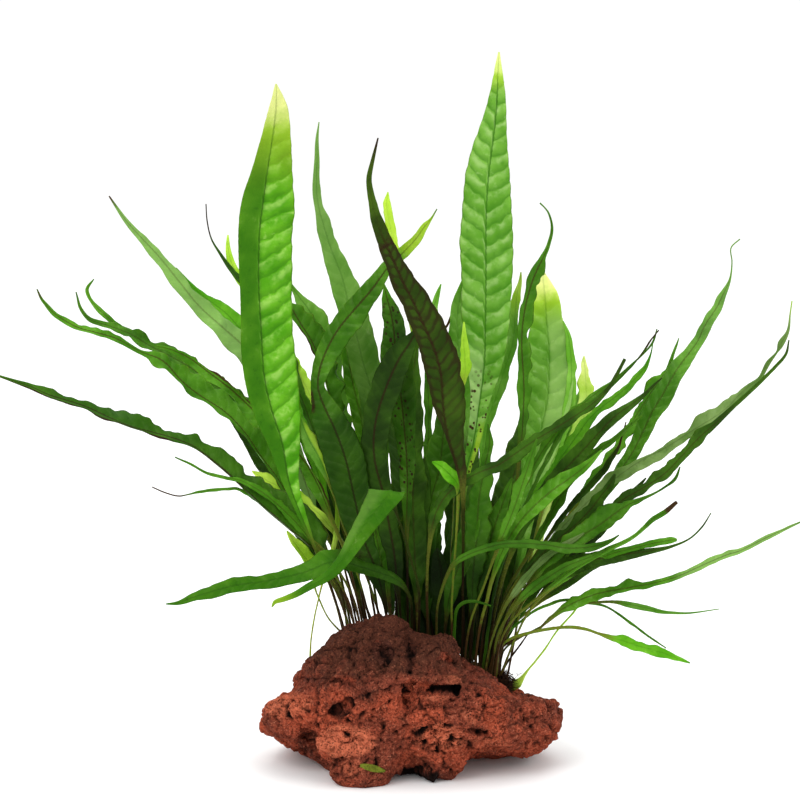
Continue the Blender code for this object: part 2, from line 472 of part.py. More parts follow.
def blade_frames(frond: Frond, line: list[Vector], widths: list[float]) -> list[tuple[Vector, Vector]]:
    """Across and facing directions of the blade at each point of its line."""
    frames = []
    across = None
    for index, (place, width) in enumerate(zip(line, widths)):
        along = (line[min(index + 1, len(line) - 1)] - line[max(index - 1, 0)]).normalized()
        if across is None or not frond.fold:
            across = along.cross(EYE - place).normalized()
        else:
            across = (across - along * across.dot(along)).normalized()
        facing = across.cross(along).normalized()
        turn = blade_turn(frond, width)
        frames.append((
            across * math.cos(turn) - facing * math.sin(turn),
            facing * math.cos(turn) + across * math.sin(turn)))
    return frames


def loft(name: str, rings: list[list[Vector]]) -> bpy.types.Object:
    """One closed body through rings of as many points each, with its two ends capped."""
    shape = bmesh.new()
    bmesh.ops.create_circle(shape, cap_ends=True, segments=len(rings[0]), radius=MM)
    shape.faces.ensure_lookup_table()
    end = shape.faces[0]
    for corner, place in zip(end.verts, rings[0]):
        corner.co = place
    for index, ring in enumerate(rings[1:]):
        grown = bmesh.ops.extrude_face_region(shape, geom=[end])
        if index:
            bmesh.ops.delete(shape, geom=[end], context="FACES_ONLY")
        end = next(item for item in grown["geom"] if isinstance(item, bmesh.types.BMFace))
        for corner, place in zip(end.verts, ring):
            corner.co = place
    bmesh.ops.recalc_face_normals(shape, faces=shape.faces)
    return new_object(name, shape)


def new_object(name: str, shape: bmesh.types.BMesh) -> bpy.types.Object:
    """A linked object that holds a bmesh."""
    mesh = bpy.data.meshes.new(name)
    shape.to_mesh(mesh)
    shape.free()
    thing = bpy.data.objects.new(name, mesh)
    bpy.context.scene.collection.objects.link(thing)
    return thing


def dress(thing: bpy.types.Object, colour: tuple[float, float, float], roughness: float) -> None:
    """Gives an object a plain material of its own."""
    material = bpy.data.materials.new(thing.name)
    material.use_nodes = True
    shader = material.node_tree.nodes["Principled BSDF"]
    shader.inputs["Base Color"].default_value = (*colour, 1.0)
    shader.inputs["Roughness"].default_value = roughness
    shader.inputs["Metallic"].default_value = 0.0
    thing.data.materials.append(material)


def make_frond(frond: Frond) -> bpy.types.Object:
    """A stalk and blade in one, four-sided, with sharp margins and a keel along the midrib."""
    line, widths = frond_line(frond)
    rings = []
    frames = blade_frames(frond, line, widths)
    for index, (place, seen_width, (across, facing)) in enumerate(zip(line, widths, frames)):
        width = seen_width / math.cos(blade_turn(frond, seen_width))
        taper = 1 - index / (len(line) - 1)
        thickness = min(width, TIP_THICKNESS + (BLADE_THICKNESS - TIP_THICKNESS) * taper**0.5)
        margin = facing * (width * KEEL)
        rings.append([
            place + across * (width / 2) + margin, place + facing * (thickness / 2),
            place - across * (width / 2) + margin, place - facing * (thickness / 2)])
    thing = loft(frond.name, rings)
    dress(thing, TINTS[frond.tint], 0.4)
    return thing


def make_rhizome() -> bpy.types.Object:
    """The creeping stem: an oval lumpy rod along its route, thin at both ends."""
    rings = []
    for across, down, half_depth, half_height in smooth_read(list(RHIZOME_ROUTE), RHIZOME_RINGS):
        middle = seen(across, down, CROWN_DEPTH)
        ring = []
        for side in range(RHIZOME_SIDES):
            turn = math.tau * side / RHIZOME_SIDES
            out = Vector((0.0, math.cos(turn) * half_depth, math.sin(turn) * half_height)) * MM
            bump = noise.noise((middle + out) / RHIZOME_GRAIN) * RHIZOME_BUMP
            ring.append(middle + out + out.normalized() * bump)
        rings.append(ring)
    thing = loft("rhizome", rings)
    dress(thing, RHIZOME_COLOUR, 0.8)
    return thing


def rock_core() -> bmesh.types.BMesh:
    """Overlapping closed bodies that together fill the stone: its outline in depth steps, and its lumps."""
    shape = bmesh.new()
    centre_across, centre_down = ROCK_CENTRE_PX
    rings = []
    for depth, scale, low_scale, drop in ROCK_SECTIONS:
        ring = []
        for across, down in ROCK_OUTLINE:
            down_scale = low_scale if down > centre_down else scale
            place = seen(
                centre_across + (across - centre_across) * scale,
                centre_down + (down - centre_down) * down_scale, depth * MM)
            above = max(centre_down - down, 0.0) / (centre_down - ROCK_OUTLINE[10][1])
            place.z -= drop * MM * above
            ring.append(place)
        rings.append([shape.verts.new(place) for place in ring])
    for low, high in zip(rings, rings[1:]):
        for index in range(len(low)):
            following = (index + 1) % len(low)
            shape.faces.new((low[index], low[following], high[following], high[index]))
    shape.faces.new(rings[0])
    shape.faces.new(rings[-1])
    for across, down, depth, half_wide, half_high, half_deep in ROCK_LUMPS:
        lump = bmesh.ops.create_icosphere(shape, subdivisions=3, radius=1.0)["verts"]
        bmesh.ops.scale(shape, verts=lump, vec=Vector((half_wide, half_deep, half_high)) * MM)
        bmesh.ops.translate(shape, verts=lump, vec=seen(across, down, depth * MM))
    bmesh.ops.recalc_face_normals(shape, faces=shape.faces)
    return shape


def apply_modifiers(thing: bpy.types.Object) -> None:
    """Turns an object's mesh into what its modifiers make of it."""
    evaluated = thing.evaluated_get(bpy.context.evaluated_depsgraph_get())
    mesh = bpy.data.meshes.new_from_object(evaluated)
    thing.modifiers.clear()
    thing.data = mesh


def cut_depth(cut: Cut, across: float, down: float) -> float:
    """How deep a cut goes at a pixel of the stone's front."""
    run = (cut.end[0] - cut.start[0], cut.end[1] - cut.start[1])
    share = ((across - cut.start[0]) * run[0] + (down - cut.start[1]) * run[1]) / (run[0]**2 + run[1]**2)
    share = min(max(share, 0.0), 1.0)
    off = math.hypot(across - cut.start[0] - share * run[0], down - cut.start[1] - share * run[1]) * PIXEL
    return cut.depth * MM * math.exp(-((off / (cut.width * MM / 2))**2))


def bed_height(place: Vector) -> float:
    """The height above which the stone makes room for the rhizome and the stalks on it."""
    across = pixel_of(Vector((place.x, CROWN_DEPTH, place.z)))[0]
    across = min(max(across, RHIZOME_ROUTE[0][0]), RHIZOME_ROUTE[-1][0])
    _, down, half_depth, half_height = read_line(RHIZOME_ROUTE, across)
    middle = seen(across, down, CROWN_DEPTH)
    outside = abs(place.x - middle.x)
    off = math.hypot(abs(place.y - CROWN_DEPTH), outside * 2)
    share = off / (half_depth * MM)
    if share < 1:
        return middle.z - half_height * MM * math.sqrt(1 - share**2) - BED_GAP
    return middle.z - BED_GAP + (off - half_depth * MM) * BED_SLOPE


def roughen_rock(shape: bmesh.types.BMesh) -> None:
    """Works the lumps, the cuts and the bed of the rhizome into the stone's surface."""
    shape.normal_update()
    moves = []
    for corner in shape.verts:
        lump = sum(noise.noise(corner.co / size) * height for size, height in ROCK_ROUGHNESS)
        move = corner.normal * lump
        towards_eye = (EYE - corner.co).normalized().dot(corner.normal)
        if towards_eye > 0:
            across, down = pixel_of(corner.co)
            depth = max(cut_depth(cut, across, down) for cut in ROCK_CUTS)
            move += Vector((0.0, depth * min(towards_eye * 2, 1.0), 0.0))
        moves.append(move)
    for corner, move in zip(shape.verts, moves):
        corner.co += move
        corner.co.z = min(corner.co.z, bed_height(corner.co))


def make_rock() -> bpy.types.Object:
    """The lava stone in one body, cut off flat where it rests."""
    thing = new_object("lava_rock", rock_core())
    remesh = thing.modifiers.new("fuse", "REMESH")
    remesh.mode = "VOXEL"
    remesh.voxel_size = ROCK_VOXEL
    apply_modifiers(thing)
    shape = bmesh.new()
    shape.from_mesh(thing.data)
    for _ in range(ROCK_FILLET_PASSES):
        bmesh.ops.smooth_vert(shape, verts=shape.verts, factor=0.5, use_axis_x=True, use_axis_y=True,
                              use_axis_z=True)
    roughen_rock(shape)
    bmesh.ops.triangulate(shape, faces=shape.faces)
    shape.to_mesh(thing.data)
    shape.free()
    thinning = thing.modifiers.new("thin", "DECIMATE")
    thinning.ratio = ROCK_FACES / len(thing.data.polygons)
    apply_modifiers(thing)
    shape = bmesh.new()
    shape.from_mesh(thing.data)
    everything = [*shape.verts, *shape.edges, *shape.faces]
    cut = bmesh.ops.bisect_plane(
        shape, geom=everything, dist=0.01 * MM, plane_co=(0, 0, 0), plane_no=(0, 0, 1), clear_inner=True)
    rim = [item for item in cut["geom_cut"] if isinstance(item, bmesh.types.BMEdge)]
    bmesh.ops.holes_fill(shape, edges=rim)
    bmesh.ops.triangulate(shape, faces=shape.faces)
    bmesh.ops.recalc_face_normals(shape, faces=shape.faces)
    shape.to_mesh(thing.data)
    shape.free()
    dress(thing, STONE_COLOUR, 0.9)
    return thing


def make_scrap(rock: bpy.types.Object) -> bpy.types.Object:
    """A curved scrap of leaf that lies on the stone's front foot."""
    surface = BVHTree.FromObject(rock, bpy.context.evaluated_depsgraph_get())
    middles = []
    facings = []
    for step in range(SCRAP_STATIONS):
        share = step / (SCRAP_STATIONS - 1)
        across = SCRAP_START_PX[0] + (SCRAP_END_PX[0] - SCRAP_START_PX[0]) * share
        down = SCRAP_START_PX[1] + (SCRAP_END_PX[1] - SCRAP_START_PX[1]) * share
        aim = (seen(across, down, 0.0) - EYE).normalized()
        place, facing, _, _ = surface.ray_cast(EYE, aim)
        middles.append(place)
        facings.append(facing)
    facing = sum(facings, Vector()).normalized()
    base = max(place.dot(facing) for place in middles) + SCRAP_WIDTH / 2
    along = (middles[-1] - middles[0])
    along = (along - facing * along.dot(facing)).normalized()
    side = facing.cross(along)
    length = (middles[-1] - middles[0]).length
    start = middles[0] + facing * (base - middles[0].dot(facing) + SCRAP_GAP - SCRAP_WIDTH / 2)
    rings = []
    for step in range(SCRAP_STATIONS):
        share = step / (SCRAP_STATIONS - 1)
        middle = start + along * (length * share)
        half = SCRAP_WIDTH / 2 * max(math.sin(math.pi * (0.08 + 0.84 * share)), 0.2)
        rings.append([
            middle + side * half, middle + facing * SCRAP_THICKNESS, middle - side * half, middle.copy()])
    thing = loft("leaf_scrap", rings)
    dress(thing, TINTS["bright"], 0.4)
    return thing


def clear_scene() -> None:
    """Removes what the scene holds before the build."""
    for thing in list(bpy.data.objects):
        bpy.data.objects.remove(thing, do_unlink=True)


def main() -> None:
    """Builds the stone, the scrap on it, the rhizome and the fronds."""
    clear_scene()
    rock = make_rock()
    make_scrap(rock)
    make_rhizome()
    for frond in (*TOP_FRONDS, *CENTRE_FRONDS, *LEFT_FRONDS, *RIGHT_FRONDS):
        make_frond(frond)


main()
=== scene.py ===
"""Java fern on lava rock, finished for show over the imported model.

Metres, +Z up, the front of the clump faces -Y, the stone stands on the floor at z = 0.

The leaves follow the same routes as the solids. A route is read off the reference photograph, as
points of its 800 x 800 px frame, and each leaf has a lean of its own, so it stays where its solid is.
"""

import logging
import math
import random
from dataclasses import dataclass
from enum import Enum

import bmesh
import bpy
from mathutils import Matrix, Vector, noise
from mathutils.bvhtree import BVHTree


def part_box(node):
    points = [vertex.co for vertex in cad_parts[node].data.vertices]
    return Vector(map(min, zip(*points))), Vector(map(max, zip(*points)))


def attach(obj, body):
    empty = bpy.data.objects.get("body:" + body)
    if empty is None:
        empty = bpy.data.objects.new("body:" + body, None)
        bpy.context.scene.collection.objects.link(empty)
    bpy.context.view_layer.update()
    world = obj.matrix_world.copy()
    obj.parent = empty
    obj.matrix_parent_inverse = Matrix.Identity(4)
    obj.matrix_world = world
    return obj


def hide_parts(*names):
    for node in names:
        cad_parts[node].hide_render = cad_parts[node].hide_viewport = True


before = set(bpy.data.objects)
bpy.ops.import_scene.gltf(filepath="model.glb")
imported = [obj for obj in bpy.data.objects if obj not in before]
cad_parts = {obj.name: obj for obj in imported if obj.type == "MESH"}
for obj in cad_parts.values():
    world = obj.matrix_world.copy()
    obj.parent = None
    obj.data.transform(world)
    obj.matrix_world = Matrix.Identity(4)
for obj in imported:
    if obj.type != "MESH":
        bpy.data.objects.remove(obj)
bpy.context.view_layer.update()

MM = 0.001
UP = Vector((0.0, 0.0, 1.0))

Colour = tuple[float, float, float]
Place = Vector
Piece = bpy.types.Object
Material = bpy.types.Material


def ink(red: int, green: int, blue: int) -> Colour:
    """A colour given as it looks on a screen, 0 to 255, as the shaders take it."""
    parts = (red, green, blue)
    return tuple(((part / 255 + 0.055) / 1.055)**2.4 if part > 10 else part / 3295 for part in parts)


def clamp(value: float, low: float = 0.0, high: float = 1.0) -> float:
    """The value, or the end of the range that it lies past."""
    return min(max(value, low), high)


def smooth_step(share: float) -> float:
    """An even rise from 0 to 1."""
    share = clamp(share)
    return share * share * (3 - 2 * share)


def beside(point: tuple[float, float], start: tuple, end: tuple) -> tuple[float, float]:
    """Where a point lies beside a straight stretch.

    Args:
        point: The point, across and down.
        start: One end of the stretch, whose first two numbers are its place.
        end: The other end.

    Returns:
        The share of the stretch at which it comes nearest, and how far off it is there.
    """
    run = (end[0] - start[0], end[1] - start[1])
    share = clamp(((point[0] - start[0]) * run[0] + (point[1] - start[1]) * run[1]) / (run[0]**2 + run[1]**2))
    return share, math.hypot(point[0] - start[0] - share * run[0], point[1] - start[1] - share * run[1])


def along_line(line: list[Vector], index: int) -> Vector:
    """The direction of a line of places at one of them."""
    return (line[min(index + 1, len(line) - 1)] - line[max(index - 1, 0)]).normalized()


def round_trip(spread: list[float]) -> list[tuple[float, int]]:
    """The places round a flat ring: how far across each is, and on which face."""
    return [(side, 1) for side in spread] + [(side, -1) for side in reversed(spread[1:-1])]


@dataclass
class Sight:
    """The photograph's line of sight: turns pixels into places, and stands the camera there."""

    centre: float = 400.0
    pixel: float = 0.363 * MM
    distance: float = 1100 * MM
    tilt: float = math.radians(8.5)
    target: tuple[float, float, float] = (-1.8 * MM, 0.0, 134.8 * MM)

    def __post_init__(self) -> None:
        """Works out the directions of sight."""
        self.ahead = Vector((0.0, math.cos(self.tilt), -math.sin(self.tilt)))
        self.upward = Vector((0.0, math.sin(self.tilt), math.cos(self.tilt)))
        self.right = Vector((1.0, 0.0, 0.0))
        self.eye = Vector(self.target) - self.ahead * self.distance

    def ray(self, across: float, down: float) -> Vector:
        """The direction in which a pixel is seen.

        Args:
            across: Pixels from the left of the photograph.
            down: Pixels from its top.

        Returns:
            The direction, one unit long along the line of sight.
        """
        right = (across - self.centre) * self.pixel / self.distance
        rise = (self.centre - down) * self.pixel / self.distance
        return self.ahead + self.right * right + self.upward * rise

    def seen(self, across: float, down: float, depth: float) -> Place:
        """The place at a depth along Y that the photograph shows at a pixel.

        Args:
            across: Pixels from the left of the photograph.
            down: Pixels from its top.
            depth: The place's Y, in metres.

        Returns:
            The place.
        """
        ray = self.ray(across, down)
        return self.eye + ray * ((depth - self.eye.y) / ray.y)

    def pixel_of(self, place: Place) -> tuple[float, float]:
        """The pixel at which the photograph shows a place.

        Args:
            place: Any place in front of the camera.

        Returns:
            Pixels from the left and from the top.
        """
        ray = place - self.eye
        scale = self.distance / (ray.dot(self.ahead) * self.pixel)
        return self.centre + ray.dot(self.right) * scale, self.centre - ray.dot(self.upward) * scale

    def make_camera(self) -> None:
        """Stands the camera at the photograph's point of view."""
        lens = bpy.data.cameras.new("camera")
        lens.lens = lens.sensor_width * self.distance / (2 * self.centre * self.pixel)
        lens.clip_start = 10 * MM
        camera = bpy.data.objects.new("camera", lens)
        camera.location = self.eye
        camera.rotation_euler = self.ahead.to_track_quat("-Z", "Y").to_euler()
        bpy.context.scene.collection.objects.link(camera)
        bpy.context.scene.camera = camera


def read_line(points: tuple, at: float) -> list[float]:
    """The values of a table at a place of its first column, straight between its rows.

    Args:
        points: Rows of numbers, their first column rising.
        at: The place in that column.

    Returns:
        One number for each column.
    """
    for low, high in zip(points, points[1:]):
        if at <= high[0]:
            break
    share = clamp((at - low[0]) / (high[0] - low[0]))
    return [a + (b - a) * share for a, b in zip(low, high)]


def smooth_read(points: list, count: int) -> list[list[float]]:
    """Values at even steps along a smooth curve through points.

    Args:
        points: Rows of numbers, whose first two columns are a place.
        count: How many rows to return.

    Returns:
        Rows as wide as the points', evenly apart along the curve.
    """
    runs = [0.0]
    for low, high in zip(points, points[1:]):
        runs.append(runs[-1] + math.hypot(high[0] - low[0], high[1] - low[1]))
    slopes = []
    for index in range(len(points)):
        first = max(index - 1, 0)
        last = min(index + 1, len(points) - 1)
        slopes.append([(b - a) / (runs[last] - runs[first]) for a, b in zip(points[first], points[last])])
    rows = []
    span = 0
    for step in range(count):
        run = runs[-1] * step / (count - 1)
        while span < len(points) - 2 and run > runs[span + 1]:
            span += 1
        length = runs[span + 1] - runs[span]
        t = (run - runs[span]) / length
        weights = (2 * t**3 - 3 * t**2 + 1, t**3 - 2 * t**2 + t, 3 * t**2 - 2 * t**3, t**3 - t**2)
        rows.append([
            weights[0] * a + weights[1] * length * da + weights[2] * b + weights[3] * length * db
            for a, da, b, db in zip(points[span], slopes[span], points[span + 1], slopes[span + 1])])
    return rows


class Signal:
    """One socket of a material's nodes, which takes part in sums as a number does."""

    def __init__(self, bench: "Bench", socket: bpy.types.NodeSocket) -> None:
        """Keeps the socket and the bench that it stands on."""
        self.bench = bench
        self.socket = socket

    def reckon(self, operation: str, *values: "Signal | float") -> "Signal":
        """A Math node over values."""
        return self.bench.node("ShaderNodeMath", {"operation": operation}, dict(enumerate(values)))

    def __add__(self, other: "Signal | float") -> "Signal":
        """The sum."""
        return self.reckon("ADD", self, other)

    def __mul__(self, other: "Signal | float") -> "Signal":
        """The product."""
        return self.reckon("MULTIPLY", self, other)

    def __sub__(self, other: "Signal | float") -> "Signal":
        """The difference."""
        return self.reckon("SUBTRACT", self, other)

    def __rsub__(self, other: float) -> "Signal":
        """A number less this."""
        return self.reckon("SUBTRACT", other, self)

    def __truediv__(self, other: "Signal | float") -> "Signal":
        """The quotient."""
        return self.reckon("DIVIDE", self, other)

    def __abs__(self) -> "Signal":
        """The size without its sign."""
        return self.reckon("ABSOLUTE", self)

    __radd__ = __add__
    __rmul__ = __mul__

    def sine(self) -> "Signal":
        """The sine of this, in radians."""
        return self.reckon("SINE", self)

    def fraction(self) -> "Signal":
        """What is left after the whole number."""
        return self.reckon("FRACT", self)

    def rise(self, low: float, high: float) -> "Signal":
        """A smooth rise from 0 where this is low to 1 where it is high.

        Args:
            low: Where the rise begins.
            high: Where it ends; below low, it is a fall.

        Returns:
            A value from 0 to 1.
        """
        if low > high:
            return 1 - self.rise(high, low)
        ends = {"Value": self, "From Min": low, "From Max": high}
        return self.bench.node("ShaderNodeMapRange", {"interpolation_type": "SMOOTHSTEP"}, ends)


class Bench:
    """The nodes of one material, and the shader at their end."""

    def __init__(self, name: str) -> None:
        """Starts a material with a plain shader.

        Args:
            name: The material's name.
        """
        self.material = bpy.data.materials.new(name)
        self.material.use_nodes = True
        self.tree = self.material.node_tree
        self.shader = self.tree.nodes["Principled BSDF"]

    @staticmethod
    def pick(sockets: bpy.types.bpy_prop_collection, key: int | str) -> bpy.types.NodeSocket:
        """Finds a socket.

        Args:
            sockets: A node's inputs or outputs.
            key: The socket's number, identifier or name.

        Returns:
            The socket.
        """
        if isinstance(key, int):
            return sockets[key]
        exact = [socket for socket in sockets if socket.identifier == key]
        return exact[0] if exact else sockets[key]

    def feed(self, socket: bpy.types.NodeSocket, value: "Signal | float | tuple") -> None:
        """Links a signal to a socket, or sets a plain value on it.

        Args:
            socket: A node's input.
            value: The signal, number or colour.
        """
        if isinstance(value, Signal):
            self.tree.links.new(value.socket, socket)
        elif isinstance(value, tuple) and socket.type == "RGBA":
            socket.default_value = (*value, 1.0)
        else:
            socket.default_value = value

    def node(self, kind: str, settings: dict | None = None, values: dict | None = None,
             output: int | str = 0) -> Signal:
        """Adds any node.

        Args:
            kind: The node's type.
            settings: Its settings, set before its sockets; stops are a ramp's places and colours.
            values: What its input sockets take, by number, identifier or name.
            output: The output socket that is wanted.

        Returns:
            That output.
        """
        made = self.tree.nodes.new(kind)
        for key, value in (settings or {}).items():
            if key == "stops":
                while len(made.color_ramp.elements) < len(value):
                    made.color_ramp.elements.new(1.0)
                for stop, (place, colour) in zip(made.color_ramp.elements, value):
                    stop.position = place
                    stop.color = (*colour, 1.0)
            else:
                setattr(made, key, value)
        for key, value in (values or {}).items():
            self.feed(self.pick(made.inputs, key), value)
        return Signal(self, self.pick(made.outputs, output))

    def place(self) -> Signal:
        """Where a point lies, in metres of the whole object."""
        return self.node("ShaderNodeTexCoord", output="Object")

    def parts(self, vector: Signal) -> tuple[Signal, Signal, Signal]:
        """The three parts of a vector."""
        split = self.node("ShaderNodeSeparateXYZ", values={0: vector})
        return split, *(Signal(self, split.socket.node.outputs[index]) for index in (1, 2))

    def trait(self, name: str) -> tuple[Signal, Signal, Signal]:
        """The three numbers that a mesh carries under a name."""
        return self.parts(self.node("ShaderNodeAttribute", {"attribute_name": name}, output="Vector"))

    def grain(self, size: float, detail: float = 2.0, rough: float = 0.5, twist: float = 0.0) -> Signal:
        """Cloudy noise.

        Args:
            size: How large its patches are, in mm.
            detail: How many finer layers it has.
            rough: How strong those layers are.
            twist: How far it is warped.

        Returns:
            A value about 0.5.
        """
        values = {"Vector": self.place(), "Scale": 1000 / size, "Detail": detail, "Roughness": rough,
                  "Distortion": twist}
        return self.node("ShaderNodeTexNoise", values=values)

    def cells(self, size: float, feature: str = "F1", uneven: float = 1.0) -> Signal:
        """Distance from the middles, or the edges, of scattered cells of a size in mm."""
        values = {"Vector": self.place(), "Scale": 1000 / size, "Randomness": uneven}
        return self.node("ShaderNodeTexVoronoi", {"feature": feature}, values, "Distance")

    def mix(self, share: "Signal | float", first: "Signal | Colour", second: "Signal | Colour",
            way: str = "MIX") -> Signal:
        """Two colours mixed.

        Args:
            share: How much of the second shows.
            first: The colour below.
            second: The colour above.
            way: Blender's name for the way of mixing.

        Returns:
            The colour.
        """
        settings = {"data_type": "RGBA", "blend_type": way}
        values = {"Factor_Float": share, "A_Color": first, "B_Color": second}
        return self.node("ShaderNodeMix", settings, values, "Result_Color")

    def ramp(self, value: Signal, stops: tuple) -> Signal:
        """A colour read off a ramp of places and colours."""
        return self.node("ShaderNodeValToRGB", {"stops": stops}, {0: value})

    def bump(self, height: Signal, depth: float, strength: float = 1.0) -> Signal:
        """Small relief of a depth in mm, for the shader's normal."""
        values = {"Height": height, "Distance": depth * MM, "Strength": strength}
        return self.node("ShaderNodeBump", values=values)

    def finish(self, **values: "Signal | float | tuple") -> Material:
        """Feeds the shader.

        Args:
            **values: Its sockets, their names with _ for each space.

        Returns:
            The material.
        """
        for name, value in values.items():
            self.feed(self.pick(self.shader.inputs, name.replace("_", " ")), value)
        return self.material


@dataclass(frozen=True)
class LeafFinish:
    """A leaf's colours and sheen. The mesh tells it where veins, stains and stalk are.

    panel_shade darkens the foot of each panel between side veins as painted shade, gleam lightens its head as a
    painted highlight, rimming browns veins and margins, and ribbing is how strongly the midrib is drawn.
    """

    name: str
    slot: str
    panel: Colour
    fresh: Colour
    # Dark green of the painted shade at the panels' feet, and of the dark flecks.
    shade_and_fleck: Colour
    rib: Colour
    stalk: Colour = ink(100, 108, 34)
    bark: Colour = ink(66, 46, 22)
    # Pale green, also the colour of the painted highlights and sheen.
    pale: Colour = ink(172, 206, 128)
    lime: Colour = ink(166, 206, 46)
    yellow: Colour = ink(244, 249, 158)
    brown: Colour = ink(58, 40, 20)
    panel_shade: float = 0.3
    gleam: float = 0.25
    rimming: float = 0.0
    ribbing: float = 0.75
    rib_width: float = 0.5
    gloss: float = 0.4
    shine: float = 0.06

    def make(self) -> Material:
        """Builds the material.

        Returns:
            The material, with relief between the side veins and along the midrib.
        """
        bench = Bench(self.name)
        side, phase, half = bench.trait("lay")
        yellow, brown, pale = bench.trait("state")
        stalk, spots, tone = bench.trait("build")
        quilt, rim, worn = bench.trait("form")
        drawn, green, _ = bench.trait("draw")
        cloud = bench.grain(12, 3)
        fleck = bench.grain(2.4, 3, 0.6)
        fine = bench.grain(0.7, 2)
        reach = abs(side) * half
        climb = (phase + (bench.grain(4, 1) - 0.5) * 0.5).fraction()
        broad = half.rise(1.0, 3.0) * quilt
        # Painted shade on the foot of each quilted panel, and a painted highlight (sheen) on its head.
        foot = climb.rise(0.5, 0.0) * climb.rise(-0.02, 0.06) * broad
        crown = climb.rise(0.4, 0.85) * climb.rise(1.0, 0.9) * broad
        sheen = crown * bench.grain(4, 3, 0.6).rise(0.34, 0.66)
        bead = (phase * 18).sine() * 0.22 + fine * 0.5 + 0.6
        rib = (reach / (bead * (half.rise(0.0, 4.0) * 0.8 + 0.2))).rise(self.rib_width, self.rib_width * 0.35)

        colour = bench.mix(cloud.rise(0.36, 0.66), self.panel, self.fresh)
        # Painted shade at the panel feet, painted highlights from sheen and gleam, and the pale marks, which
        # are partly a painted sheen.
        for share, tint in (
                (foot * self.panel_shade, self.shade_and_fleck), (fleck.rise(0.52, 0.78) * 0.3, self.fresh),
                (fleck.rise(0.42, 0.26) * 0.35, self.shade_and_fleck), (sheen * self.gleam, self.pale),
                (fleck.rise(0.55, 0.8) * cloud.rise(0.45, 0.65) * self.gleam, self.pale),
                (pale * (cloud * 0.6 + 0.5), self.pale), (yellow.rise(0.0, 0.9) * 0.9, self.lime),
                ((yellow + (fleck - 0.5) * 0.3).rise(0.55, 1.15), self.yellow)):
            colour = bench.mix(share, colour, tint)
        dots = bench.cells(1.9).rise(0.36, 0.24) * spots * reach.rise(0.5, 0.9) * reach.rise(4.6, 3.0)
        colour = bench.mix(dots, colour, self.brown)
        if self.rimming:
            web = 1 - climb.rise(0.04, 0.4) * climb.rise(0.98, 0.75)
            web = (web * 0.6 + rim.rise(2.2, 0.3) + (fleck - 0.5) * 1.3 + (cloud - 0.5) * 1.7).rise(0.1, 0.95)
            colour = bench.mix(web * self.rimming * (1 - green), colour, self.brown)
        drawn = drawn * self.ribbing * (1 - yellow * 0.7) * (1 - green * 0.85)
        colour = bench.mix(rib * drawn, colour, self.rib)
        burnt = (brown + (cloud - 0.5) * 1.1 + (fleck - 0.5) * 0.7).rise(0.3, 0.7) * brown.rise(0.02, 0.2)
        colour = bench.mix(burnt, colour, self.brown)
        wood = (bench.grain(1.6, 3, 0.6) * 0.8 + worn).rise(0.5, 1.0)
        stem = bench.mix(wood, bench.mix(fine.rise(0.4, 0.7) * 0.5, self.stalk, self.panel), self.bark)
        colour = bench.mix(stalk, colour, stem)
        # The tone ramp darkens and lightens the leaf: its random tone, with painted shade and light from its
        # marks and painted shade in the heart of the clump.
        shade = bench.ramp(tone, ((0.0, (0.16, 0.17, 0.14)), (0.5, (1.0, 1.0, 1.0)), (1.0, (1.5, 1.36, 1.3))))
        colour = bench.mix(1.0, colour, shade, "MULTIPLY")

        height = crown * 0.7 + (1 - foot) * 0.3 + fine * 0.12 + fleck * 0.3 - rib * 0.4
        rough = self.gloss + fleck * 0.2 + brown * 0.3
        return bench.finish(
            Base_Color=colour, Roughness=rough, Normal=bench.bump(height, 0.35, 0.8),
            Subsurface_Weight=0.06, Subsurface_Radius=(1.0, 1.0, 0.35), Subsurface_Scale=0.8 * MM,
            Specular_IOR_Level=self.shine)


